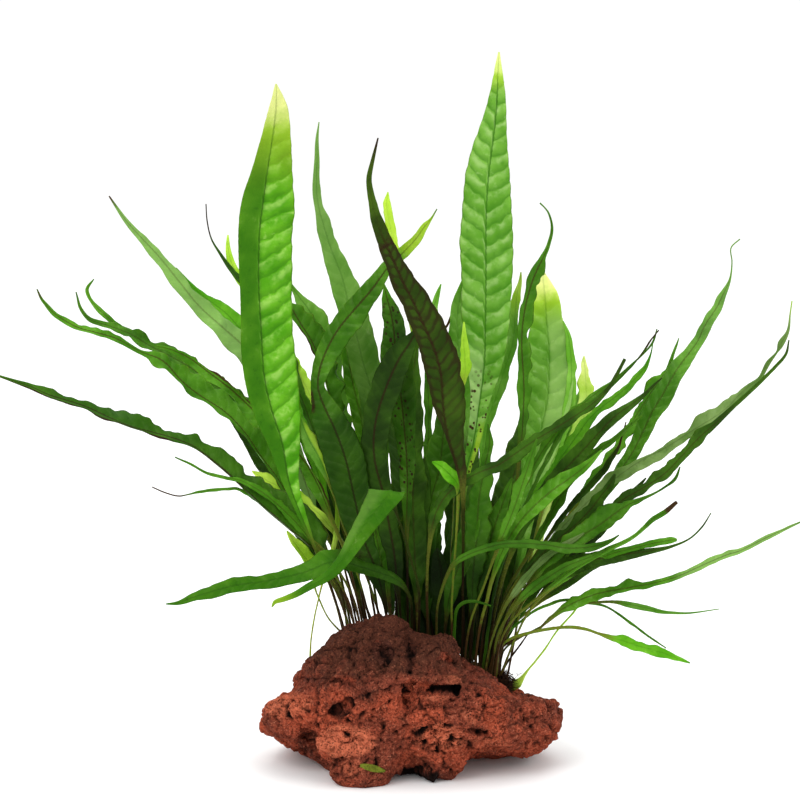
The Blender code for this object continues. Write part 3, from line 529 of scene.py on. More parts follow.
@dataclass(frozen=True)
class StoneFinish:
    """Red lava stone: brick red low in front, brown on top and near black in its hollows, the brown and the
    black being painted shade.
    """

    name: str = "lava_stone"
    bright: Colour = ink(176, 80, 54)
    middle: Colour = ink(130, 62, 45)
    dark: Colour = ink(66, 35, 28)
    hollow_shade: Colour = ink(24, 14, 11)
    top_shade: Colour = ink(74, 43, 31)
    dust: Colour = ink(226, 142, 108)
    lit: Colour = ink(222, 118, 84)

    def make(self) -> Material:
        """Builds the material.

        Returns:
            The material, with pores finer than the mesh holds.
        """
        bench = Bench(self.name)
        hollow_shade, ridge, top = bench.trait("relief")
        tint, pitted, _ = bench.trait("seen")
        cloud = bench.grain(20, 3, 0.55, 0.4)
        patch = bench.grain(5, 4, 0.7)
        grit = bench.grain(0.9, 4, 0.75)
        sand = bench.grain(0.45, 2, 0.6)
        pores = bench.cells(0.8).rise(0.42, 0.2) * bench.grain(2.6, 2).rise(0.42, 0.56)
        # Lighter low down, darker brown on top and near black in pores and hollows: painted shade.
        low = (0.66 - top * 0.9 + (cloud - 0.5) * 2.4).rise(0.3, 0.9)
        colour = bench.mix(low, self.middle, self.bright)
        # Painted light on faces that the forms tint lighter and painted shade where they tint darker; the grain
        # and patches are the stone's own colour.
        for share, tint in (
                (bench.grain(11, 3, 0.6).rise(0.52, 0.68) * 0.55, self.dark),
                (patch.rise(0.5, 0.68) * 0.7, self.dark),
                ((top + (patch - 0.5) * 1.2).rise(0.2, 0.9) * 0.85, self.top_shade),
                ((tint + patch * 1.6 - 0.8).rise(0.15, 0.85) * 0.75, self.lit),
                ((patch * 1.2 - 0.6 - tint).rise(0.2, 0.9) * 0.8, self.dark),
                (grit.rise(0.52, 0.74) * (1 - top * 0.7) * 0.6, self.dust),
                (grit.rise(0.5, 0.34) * 0.85, self.dark),
                (sand.rise(0.62, 0.8) * ridge * 0.5, self.dust),
                (sand.rise(0.45, 0.3) * 0.5, self.dark),
                (pores * (0.5 + pitted * 0.5), self.hollow_shade),
                ((hollow_shade + (grit - 0.5) * 0.7).rise(0.15, 0.95), self.hollow_shade)):
            colour = bench.mix(share, colour, tint)
        height = grit * 0.8 + patch * 0.4 + sand * 0.25 - pores * 0.9
        return bench.finish(
            Base_Color=colour, Roughness=0.92 - grit * 0.12, Normal=bench.bump(height, 1.0),
            Specular_IOR_Level=0.06)


@dataclass(frozen=True)
class BarkFinish:
    """The brown, scaly skin of the creeping stem and the roots."""

    name: str
    skin: Colour
    dark: Colour
    green: Colour
    moss: float = 0.2

    def make(self) -> Material:
        """Builds the material.

        Returns:
            The material, flecked along scales of about a millimetre.
        """
        bench = Bench(self.name)
        scale = bench.cells(1.3, "DISTANCE_TO_EDGE").rise(0.02, 0.2)
        fleck = bench.grain(0.9, 3, 0.65)
        cloud = bench.grain(7, 2)
        colour = bench.mix(fleck.rise(0.36, 0.66), self.dark, self.skin)
        colour = bench.mix(cloud.rise(0.5, 0.72) * self.moss, colour, self.green)
        colour = bench.mix((1 - scale) * 0.6, colour, self.dark)
        height = scale * 0.6 + fleck * 0.5
        return bench.finish(
            Base_Color=colour, Roughness=0.62 + fleck * 0.25, Normal=bench.bump(height, 0.35),
            Specular_IOR_Level=0.08)


@dataclass(frozen=True)
class FloorFinish:
    """The plain pale floor."""

    name: str = "pale_floor"
    tint: Colour = (0.95, 0.95, 0.95)

    def make(self) -> Material:
        """Builds the material."""
        return Bench(self.name).finish(Base_Color=self.tint, Roughness=0.95, Specular_IOR_Level=0.05)


class Look(Enum):
    """The leaf finishes."""

    BRIGHT = LeafFinish("leaf_bright_green", "leaf_bright", ink(66, 136, 10), ink(92, 160, 26),
                        ink(34, 92, 4), ink(44, 92, 6), pale=ink(166, 206, 104), panel_shade=0.5, gleam=0.45)
    FRESH = LeafFinish("leaf_fresh_green", "leaf_bright", ink(86, 148, 34), ink(116, 172, 62),
                       ink(48, 112, 14), ink(50, 108, 14), panel_shade=0.6, gleam=0.5)
    GREEN = LeafFinish("leaf_mid_green", "leaf_green", ink(54, 106, 12), ink(80, 136, 28),
                       ink(30, 70, 6), ink(56, 40, 14), rib_width=0.6)
    DARK = LeafFinish("leaf_dark_green", "leaf_dark", ink(34, 62, 8), ink(54, 92, 16),
                      ink(18, 36, 5), ink(48, 28, 12), pale=ink(92, 126, 56), rib_width=0.7)
    OLIVE = LeafFinish("leaf_olive_brown", "leaf_olive_brown", ink(34, 54, 8), ink(50, 76, 14),
                       ink(26, 30, 8), ink(42, 22, 10), pale=ink(84, 100, 38), brown=ink(40, 28, 14),
                       panel_shade=0.5, gleam=0.12, rimming=0.75, rib_width=0.9, shine=0.04)
    LIME = LeafFinish("leaf_lime", "leaf_lime", ink(142, 194, 40), ink(184, 220, 78),
                      ink(96, 150, 24), ink(92, 130, 28), stalk=ink(132, 142, 46), ribbing=0.4)
    PALE = LeafFinish("leaf_pale_yellow", "leaf_lime", ink(166, 206, 82), ink(204, 230, 126),
                      ink(120, 166, 48), ink(116, 150, 54), stalk=ink(132, 142, 46), ribbing=0.4)
    GREY = LeafFinish("leaf_grey_green", "leaf_green", ink(84, 118, 50), ink(118, 148, 80),
                      ink(50, 78, 26), ink(60, 72, 30), pale=ink(160, 184, 132), gleam=0.3, ribbing=0.5)


@dataclass(frozen=True)
class Growth:
    """How finely a leaf of a kind is built, and the relief that it grew.

    step, spacing of the side veins, quilt, wave and wavelength are in mm. slant is how steeply the veins
    rise. scallop and nick are how far the margin swings with the veins and unevenly, as shares of the width,
    and keel is how far the margins stand forward of the midrib.
    """

    columns: int
    step: float
    spacing: float
    slant: float
    quilt: float
    wave: float
    wavelength: float
    scallop: float
    nick: float
    keel: float


class Habit(Enum):
    """The kinds of leaf."""

    QUILTED = Growth(20, 0.9, 6.3, 0.60, 0.90, 0.6, 20, 0.03, 0.08, 0.05)
    BROAD = Growth(14, 1.0, 4.4, 0.75, 0.30, 0.8, 10, 0.03, 0.26, 0.09)
    RUFFLED = Growth(12, 0.9, 4.4, 0.70, 0.20, 1.2, 7, 0.02, 0.95, 0.16)
    SLIM = Growth(8, 1.0, 4.0, 0.70, 0.15, 0.7, 6, 0.02, 0.55, 0.14)
    WHISKER = Growth(6, 0.8, 3.0, 0.50, 0.0, 0.4, 4, 0.04, 1.0, 0.10)


class Stain(Enum):
    """What a stretch of leaf shows: yellow, brown, pale (partly a painted sheen), spots, a change of tone
    (SHADE and LIGHT, mostly painted shade and painted light), fresh green.
    """

    YELLOW = (1, 0, 0, 0, 0, 0)
    BROWN = (0, 1, 0, 0, 0, 0)
    PALE = (0, 0, 1, 0, 0, 0)
    SPOTS = (0, 0, 0, 1, 0, 0)
    GREEN = (-1, -1, 0, 0, 0.2, 1)
    SHADE = (0, 0, 0, 0, -1, 0)
    LIGHT = (0, 0, 0, 0, 1, 0)


@dataclass(frozen=True)
class Mark:
    """A marked stretch of a leaf: a stain, and also painted sheen, painted shade and painted light.

    start and end are shares of its length, side is -1 or 1 where only one half has it, and edge is how far
    out from the midrib it begins. A mark that runs to the tip grows towards it.
    """

    stain: Stain
    start: float
    end: float
    strength: float
    side: int = 0
    edge: float = 0.0


@dataclass(frozen=True)
class Frond:
    """One leaf with its stalk.

    root is where it leaves the creeping stem, across the photograph. lean is how far forward (-) or back (+)
    it has gone at the leaf's full reach, in mm. roll turns the blade about its midrib, in degrees, the
    right-hand edge going back. The route runs from the stalk to the tip as (across px, down px, width mm).
    fold is the number of the point at which it doubles over towards the front, by fold_reach mm, and crest
    the way that the fold runs, across and down. midrib is how far the midrib lies off the middle, as a share
    of the half width, until the share of the length at which it is back there, recentre. plain is -1 or 1
    where that half is not quilted. pace, quilting, ragged and ribbing scale the panels' length and height,
    the nicks of the margins and the strength of the midrib.
    """

    name: str
    root: float
    lean: float
    roll: float
    look: Look
    habit: Habit
    route: tuple[tuple[float, float, float], ...]
    fold: int = 0
    fold_reach: float = 0.0
    crest: tuple[float, float] = (1.0, 0.0)
    midrib: float = 0.0
    recentre: float = 9.0
    pace: float = 1.0
    ribbing: float = 0.55
    plain: int = 0
    quilting: float = 1.0
    ragged: float = 1.0
    marks: tuple[Mark, ...] = ()


TOP_FRONDS = (
    Frond("tall_right", 466, -8, -14, Look.FRESH, Habit.QUILTED, ((463, 600, 1.4), (462, 540, 1.6),
        (466, 475, 3), (474, 442, 4.6), (480, 400, 7), (484, 370, 12), (486, 340, 16), (487, 290, 18),
        (487, 231, 19), (488, 180, 16.5), (491, 150, 13), (494, 129, 10), (497, 100, 6.5), (498, 75, 3.5),
        (499, 52, 0.6)), ribbing=1.0, marks=(Mark(Stain.YELLOW, 0.915, 1, 0.9),
        Mark(Stain.PALE, 0.38, 0.5, 0.6, -1), Mark(Stain.SPOTS, 0.22, 0.47, 1),
        Mark(Stain.YELLOW, 0.3, 0.39, 0.6, 1, 0.3), Mark(Stain.SHADE, 0, 0.22, 0.2))),
    Frond("tall_left", 352, -50, 10, Look.BRIGHT, Habit.QUILTED, ((340, 600, 1.4), (318, 555, 2),
        (300, 510, 3.5), (290, 480, 6), (284, 440, 12), (277, 410, 16.5), (270, 371, 19),
        (266, 320, 18.5), (265, 282, 18.5), (265, 231, 18.8), (268, 200, 18), (272, 168, 14),
        (276, 135, 10), (278, 108, 6.5), (276, 84, 0.6)), midrib=-0.22, plain=-1, pace=1.18, ribbing=1.0,
        marks=(Mark(Stain.SHADE, 0.1, 0.9, 0.1, -1), Mark(Stain.LIGHT, 0.2, 0.85, 0.2, 1),
        Mark(Stain.YELLOW, 0.76, 1, 0.66), Mark(Stain.YELLOW, 0.9, 1, 0.4))),
    Frond("brown_front", 462, -62, 12, Look.OLIVE, Habit.BROAD, ((463, 560, 1.5), (463, 500, 2.2),
        (461, 470, 3.6), (456, 440, 6.5), (449, 402, 11.5), (442, 371, 13), (430, 333, 11.2),
        (415, 300, 10), (404, 282, 8.5), (388, 250, 6.4), (380, 230, 4.6), (372, 200, 2.6),
        (369, 180, 1.9), (372, 163, 1.4), (378, 138, 0.5)), midrib=-0.75, recentre=0.64, ribbing=1.0,
        marks=(Mark(Stain.GREEN, 0.81, 0.965, 1), Mark(Stain.BROWN, 0.965, 1, 0.9),
        Mark(Stain.BROWN, 0.79, 0.815, 0.8), Mark(Stain.GREEN, 0.4, 0.52, 0.5, 1),
        Mark(Stain.BROWN, 0, 0.3, 0.7), Mark(Stain.SHADE, 0, 0.8, 0.16), Mark(Stain.SHADE, 0, 0.3, 0.5))),
    Frond("thin_tall", 398, 5, 24, Look.FRESH, Habit.BROAD, ((393, 560, 1.5), (386, 500, 3),
        (379, 450, 7), (374, 410, 10), (366, 370, 11.5), (357, 330, 11.5), (348, 300, 10),
        (342, 280, 9.2), (331, 250, 6.8), (325, 230, 6), (318, 205, 3.6), (316, 185, 2.8),
        (317, 160, 1.9), (317, 140, 1.2), (319, 122, 0.4)), quilting=0.6, ribbing=0.4,
        marks=(Mark(Stain.SHADE, 0, 0.6, 0.16), Mark(Stain.PALE, 0.55, 1, 0.35))),
    Frond("lime_small", 412, 30, -30, Look.LIME, Habit.SLIM, ((411, 500, 1.5), (411, 400, 2.2),
        (415, 360, 2.4), (414, 330, 2.8), (408, 300, 3), (401, 270, 3.4), (395, 244, 3.6),
        (389, 215, 3.2), (387, 203, 2.6), (388, 192, 0.5)), marks=(Mark(Stain.YELLOW, 0.6, 1, 0.6),
        Mark(Stain.SHADE, 0, 0.8, 0.3))),
    Frond("kinked", 388, -40, 14, Look.GREEN, Habit.BROAD, ((384, 600, 2.6), (375, 572, 6), (362, 540, 9),
        (354, 500, 13), (344, 460, 15), (333, 430, 13), (322, 405, 9), (317, 386, 5.5), (321, 364, 7),
        (334, 338, 8.8), (352, 313, 9), (371, 288, 7), (386, 268, 4.4), (401, 254, 3.8), (415, 240, 3.5),
        (425, 226, 2.4), (431, 219, 0.9), (437, 209, 0.4)), ribbing=1.0,
        marks=(Mark(Stain.SHADE, 0, 0.54, 0.18), Mark(Stain.SHADE, 0, 0.47, 0.18),
        Mark(Stain.BROWN, 0, 0.22, 0.35), Mark(Stain.SHADE, 0.5, 0.86, 0.08),
        Mark(Stain.BROWN, 0.49, 0.54, 0.8, -1, 0.6), Mark(Stain.YELLOW, 0.88, 0.99, 0.6))),
    Frond("yellow_edge", 384, -44, 4, Look.FRESH, Habit.SLIM, ((366, 575, 1.4), (345, 530, 1.4),
        (337, 504, 1.4), (327, 478, 2.6), (319, 460, 4), (310, 442, 5), (305, 430, 3.6), (298, 412, 0.6)),
        marks=(Mark(Stain.YELLOW, 0.4, 0.95, 0.6, 1), )),
    Frond("spotted", 408, -18, -24, Look.GREEN, Habit.BROAD, ((407, 540, 2), (407, 480, 5), (405, 430, 9),
        (402, 390, 11), (398, 360, 11), (395, 330, 8.7), (391, 310, 6), (387, 297, 3.2), (384, 284, 0.6)),
        ribbing=1.0, marks=(Mark(Stain.SPOTS, 0.4, 0.95, 1), Mark(Stain.SHADE, 0, 0.95, 0.26),
        Mark(Stain.SHADE, 0.3, 0.95, 0.12, 1))),
    Frond("behind_tall", 480, 22, 24, Look.FRESH, Habit.BROAD, ((476, 600, 2), (474, 560, 5.5),
        (470, 480, 8), (466, 420, 8.5), (460, 380, 9.5), (457, 345, 8.5), (457, 315, 6), (460, 295, 3.5),
        (462, 281, 0.6)), ribbing=0.3, marks=(Mark(Stain.SHADE, 0, 0.6, 0.2),
        Mark(Stain.LIGHT, 0.6, 0.99, 0.1))),
    Frond("hooked", 490, 2, 30, Look.GREEN, Habit.SLIM, ((500, 600, 1.4), (512, 520, 1.6),
        (520, 450, 2.4), (523, 400, 4), (522, 345, 4.2), (525, 310, 4.6), (531, 284, 5), (537, 268, 5),
        (542, 259, 2.8), (548, 246, 1.5), (552, 228, 1.1), (549, 214, 0.7), (545, 208, 0.5),
        (540, 203, 0.6)), ribbing=1.0, marks=(Mark(Stain.SHADE, 0, 0.55, 0.22),
        Mark(Stain.BROWN, 0.38, 0.43, 0.8))),
    Frond("thin_lime", 476, 14, -28, Look.FRESH, Habit.SLIM, ((479, 560, 1.4), (482, 470, 2.5),
        (487, 425, 3.5), (495, 400, 5), (503, 370, 6.5), (510, 345, 6.5), (514, 320, 4.5),
        (517, 295, 2.6), (520, 282, 1.6), (521, 272, 0.5)), ribbing=0.3,
        marks=(Mark(Stain.YELLOW, 0.84, 1, 0.7), Mark(Stain.LIGHT, 0.4, 0.99, 0.2))),
    Frond("yellow_tip", 492, 32, -20, Look.FRESH, Habit.QUILTED, ((497, 645, 1.4), (509, 605, 1.8),
        (524, 540, 4), (533, 480, 9), (543, 430, 15), (549, 400, 17), (550, 371, 17), (549, 345, 15.5),
        (547, 320, 12), (546, 300, 10), (544, 285, 6), (543, 271, 0.8)), quilting=0.5, ribbing=0.5,
        marks=(Mark(Stain.YELLOW, 0.82, 1, 0.7), Mark(Stain.YELLOW, 0.9, 1, 0.3),
        Mark(Stain.LIGHT, 0.3, 0.99, 0.36), Mark(Stain.SHADE, 0.2, 0.85, 0.14, -1),
        Mark(Stain.PALE, 0.4, 0.9, 0.4, 1))),
    Frond("pale_tip", 490, 44, 26, Look.PALE, Habit.SLIM, ((498, 638, 1.4), (522, 585, 2), (553, 500, 4),
        (572, 450, 6), (580, 420, 6.5), (584, 400, 5.8), (584, 380, 4.8), (584, 366, 2.8),
        (584, 356, 0.6)), marks=(Mark(Stain.YELLOW, 0.8, 1, 0.9), )),
)

CENTRE_FRONDS = (
    Frond("centre_upright", 418, 12, 30, Look.DARK, Habit.BROAD, ((417, 610, 1.8), (417, 590, 4),
        (416, 560, 7.5), (413, 500, 8.5), (411, 440, 8), (411, 400, 6.5), (413, 370, 4.5),
        (418, 342, 0.6))),
    Frond("centre_bright", 431, 42, -24, Look.GREEN, Habit.BROAD, ((427, 612, 3), (426, 590, 6.5),
        (426, 558, 8), (427, 525, 8.5), (433, 497, 10), (440, 470, 11.5), (444, 445, 10), (445, 425, 7),
        (443, 395, 4), (438, 366, 0.5))),
    Frond("centre_stub", 470, -28, 18, Look.GREEN, Habit.SLIM, ((472, 600, 3), (475, 550, 8),
        (479, 505, 8), (484, 465, 4.5), (489, 440, 2.6), (488, 424, 0.6))),
    Frond("centre_dark", 402, -30, -14, Look.DARK, Habit.BROAD, ((399, 600, 2), (395, 560, 6),
        (384, 500, 8), (375, 460, 9), (377, 425, 10), (386, 390, 10.5), (398, 360, 9.5), (410, 342, 6),
        (418, 328, 0.8)), ribbing=1.0, marks=(Mark(Stain.SHADE, 0, 0.99, 0.3), )),
    Frond("centre_left", 392, 18, 28, Look.GREEN, Habit.BROAD, ((388, 595, 2.4), (380, 555, 4.5),
        (370, 490, 5), (363, 430, 6.5), (356, 395, 7.5), (350, 365, 6.5), (346, 345, 3.6),
        (343, 330, 0.6))),
    Frond("back_middle", 446, 72, -32, Look.DARK, Habit.BROAD, ((451, 635, 3), (454, 605, 6.5),
        (457, 570, 8.5), (459, 530, 9.5), (457, 490, 10), (454, 450, 10), (451, 410, 7),
        (448, 372, 0.6))),
    Frond("back_inner_left", 422, 88, 30, Look.DARK, Habit.BROAD, ((418, 600, 3), (413, 570, 7),
        (409, 540, 9), (402, 470, 9.5), (396, 420, 9.5), (390, 380, 7), (386, 350, 3.5),
        (384, 328, 0.6))),
    Frond("back_inner_right", 472, 84, -30, Look.DARK, Habit.BROAD, ((478, 630, 3), (486, 598, 6.5),
        (495, 560, 9), (503, 520, 10), (515, 470, 10), (526, 430, 7.5), (534, 400, 4), (539, 374, 0.6))),
    Frond("back_left", 374, 68, 32, Look.DARK, Habit.BROAD, ((360, 590, 2), (350, 555, 5),
        (332, 500, 7.5), (316, 455, 9), (304, 420, 7), (297, 395, 3), (293, 376, 0.6))),
)

LEFT_FRONDS = (
    Frond("left_high", 356, 16, 34, Look.GREEN, Habit.BROAD, ((346, 600, 1.3), (323, 540, 2),
        (304, 480, 4.5), (287, 430, 6.8), (266, 385, 8), (243, 350, 8), (222, 328, 7.2), (200, 307, 6.2),
        (180, 284, 5.5), (159, 259, 4.4), (138, 235, 2.8), (124, 218, 1.6), (109, 196, 0.5)),
        quilting=0.5, ribbing=0.5, marks=(Mark(Stain.PALE, 0.25, 0.99, 0.35),
        Mark(Stain.SHADE, 0, 0.99, 0.15), Mark(Stain.BROWN, 0.95, 1, 0.7))),
    Frond("left_high_back", 361, 26, 34, Look.BRIGHT, Habit.SLIM, ((342, 560, 1.4), (306, 440, 4.5),
        (272, 370, 7), (245, 336, 7), (226, 315, 5.5), (204, 298, 3), (190, 284, 1.6), (176, 268, 0.5)),
        marks=(Mark(Stain.LIGHT, 0.3, 0.99, 0.1), )),
    Frond("left_whisker", 366, 46, 28, Look.GREEN, Habit.SLIM, ((351, 560, 1.4), (312, 430, 4),
        (282, 350, 5), (258, 308, 4.5), (243, 284, 3), (230, 268, 1.8), (219, 252, 1), (211, 238, 0.6),
        (207, 220, 0.5), (206, 204, 0.5)), marks=(Mark(Stain.BROWN, 0.85, 1, 0.7),
        Mark(Stain.SHADE, 0.5, 1, 0.2))),
    Frond("left_inner_back", 380, 30, 26, Look.FRESH, Habit.SLIM, ((370, 560, 1.5), (354, 470, 3),
        (340, 400, 5), (330, 345, 6), (320, 325, 6.2), (309, 310, 5), (299, 298, 3.2), (291, 284, 0.8))),
    Frond("left_ruffled", 377, 10, 26, Look.GREEN, Habit.RUFFLED, ((365, 560, 1.5), (348, 470, 3),
        (336, 400, 5.5), (325, 360, 6.5), (315, 338, 6.5), (303, 322, 5.6), (294, 310, 4),
        (288, 302, 0.6)), ribbing=1.0, marks=(Mark(Stain.BROWN, 0.8, 0.93, 0.9, -1, 0.6), )),
    Frond("left_long", 350, 4, 34, Look.GREEN, Habit.RUFFLED, ((341, 600, 1.3), (318, 545, 2),
        (300, 510, 4), (285, 482, 6), (270, 458, 7.6), (252, 432, 8.8), (226, 408, 9.2), (201, 391, 8.2),
        (181, 377, 7.2), (163, 362, 5), (139, 351, 1.8), (115, 338, 2.8), (96, 332, 3), (77, 327, 2.6),
        (55, 314, 2), (43, 301, 1.2), (37, 289, 0.5)), midrib=-0.45, ragged=1.1, ribbing=1.0,
        marks=(Mark(Stain.BROWN, 0.1, 0.5, 0.5, -1, 0.7), Mark(Stain.BROWN, 0.95, 1, 0.6),
        Mark(Stain.SHADE, 0, 0.99, 0.14))),
    Frond("left_long_back", 352, 28, 34, Look.GREEN, Habit.RUFFLED, ((333, 550, 1.6), (302, 487, 3.5),
        (270, 440, 5.2), (240, 407, 5.6), (215, 385, 5.6), (190, 367, 5.4), (170, 355, 4.6),
        (149, 344, 4), (134, 335, 3.6), (115, 328, 3), (102, 324, 2.2), (89, 319, 1.6), (80, 307, 1.2),
        (76, 292, 0.5)), ragged=1.2),
    Frond("left_hook_tip", 358, 38, 34, Look.GREEN, Habit.RUFFLED, ((336, 540, 1.4), (302, 470, 3),
        (264, 425, 4.5), (228, 394, 5), (195, 371, 4.6), (165, 353, 4), (141, 341, 3.2), (122, 330, 2.6),
        (106, 316, 2), (93, 303, 1.6), (87, 290, 1.4), (94, 279, 0.4))),
    Frond("left_thin_dark", 364, -12, 30, Look.GREEN, Habit.RUFFLED, ((344, 550, 1.6), (312, 480, 3.5),
        (280, 438, 5), (260, 421, 5.4), (245, 408, 5), (226, 390, 4.6), (207, 374, 4), (188, 359, 3),
        (172, 350, 1.8), (156, 346, 0.8)), midrib=0.6, ribbing=1.0,
        marks=(Mark(Stain.BROWN, 0.3, 0.9, 0.6, 1, 0.5), )),
    Frond("left_reaching", 348, -34, 36, Look.GREEN, Habit.RUFFLED, ((343, 600, 1.5), (330, 565, 3.5),
        (313, 537, 8), (296, 519, 11), (278, 505, 10.5), (258, 490, 8), (239, 475, 6), (220, 460, 5),
        (201, 447, 4.2), (178, 438, 4.2), (153, 430, 4.2), (128, 420, 5.2), (102, 412, 4.8),
        (77, 404, 3.2), (51, 395, 3.4), (32, 387, 2.2), (14, 381, 1.4), (-10, 373, 0.5)), midrib=-0.75,
        ragged=0.5, ribbing=1.0, marks=(Mark(Stain.BROWN, 0.1, 0.98, 0.6, -1, 0.5),
        Mark(Stain.SHADE, 0, 0.99, 0.22))),
    Frond("left_lime_low", 344, 10, 20, Look.LIME, Habit.SLIM, ((329, 619, 0.9), (320, 601, 1),
        (315, 588, 1.2), (313, 572, 2.4), (308, 558, 4.4), (299, 546, 4), (292, 538, 2.6),
        (287, 531, 0.6)), marks=(Mark(Stain.YELLOW, 0.5, 1, 0.3), )),
    Frond("left_low", 411, -78, 24, Look.BRIGHT, Habit.BROAD, ((411, 602, 1.5), (404, 587, 2.6),
        (394, 579, 3.8), (377, 572, 4.8), (360, 566, 6), (344, 561, 7), (328, 562, 7.4), (309, 571, 6.8),
        (290, 577, 5.6), (265, 582, 5.2), (239, 585, 5.2), (214, 591, 5), (195, 597, 3.4),
        (178, 603, 1.6), (166, 604, 0.5)), quilting=0.6, ribbing=0.4,
        marks=(Mark(Stain.SHADE, 0, 0.42, 0.25), Mark(Stain.SHADE, 0, 0.99, 0.1))),
    Frond("front_bent", 418, -92, 0, Look.BRIGHT, Habit.BROAD, ((419, 590, 1.3), (411, 560, 1.4),
        (403, 532, 1.5), (396, 512, 1.8), (391, 499, 6), (388, 490.5, 12.6), (382, 501, 11),
        (371.5, 515.5, 9.2), (359, 535, 6.8), (348, 553, 5.4), (336, 569, 4.2), (325, 578, 3.2),
        (310, 586, 2.8), (296, 594, 2.4), (284, 599, 2), (275, 602, 1.5), (272, 607, 0.5)), fold=6,
        fold_reach=7.0, crest=(34, 8), quilting=0.5, ribbing=0.12, marks=(Mark(Stain.SHADE, 0, 0.45, 0.3),
        Mark(Stain.SHADE, 0.47, 0.9, 0.1), Mark(Stain.PALE, 0.48, 0.72, 0.3, -1, 0.35),
        Mark(Stain.YELLOW, 0.87, 1, 0.6))),
    Frond("left_back_low", 346, 62, 34, Look.DARK, Habit.BROAD, ((332, 590, 1.6), (310, 535, 4.5),
        (287, 498, 6.5), (264, 462, 7), (242, 428, 6), (222, 404, 4), (206, 388, 0.6))),
)

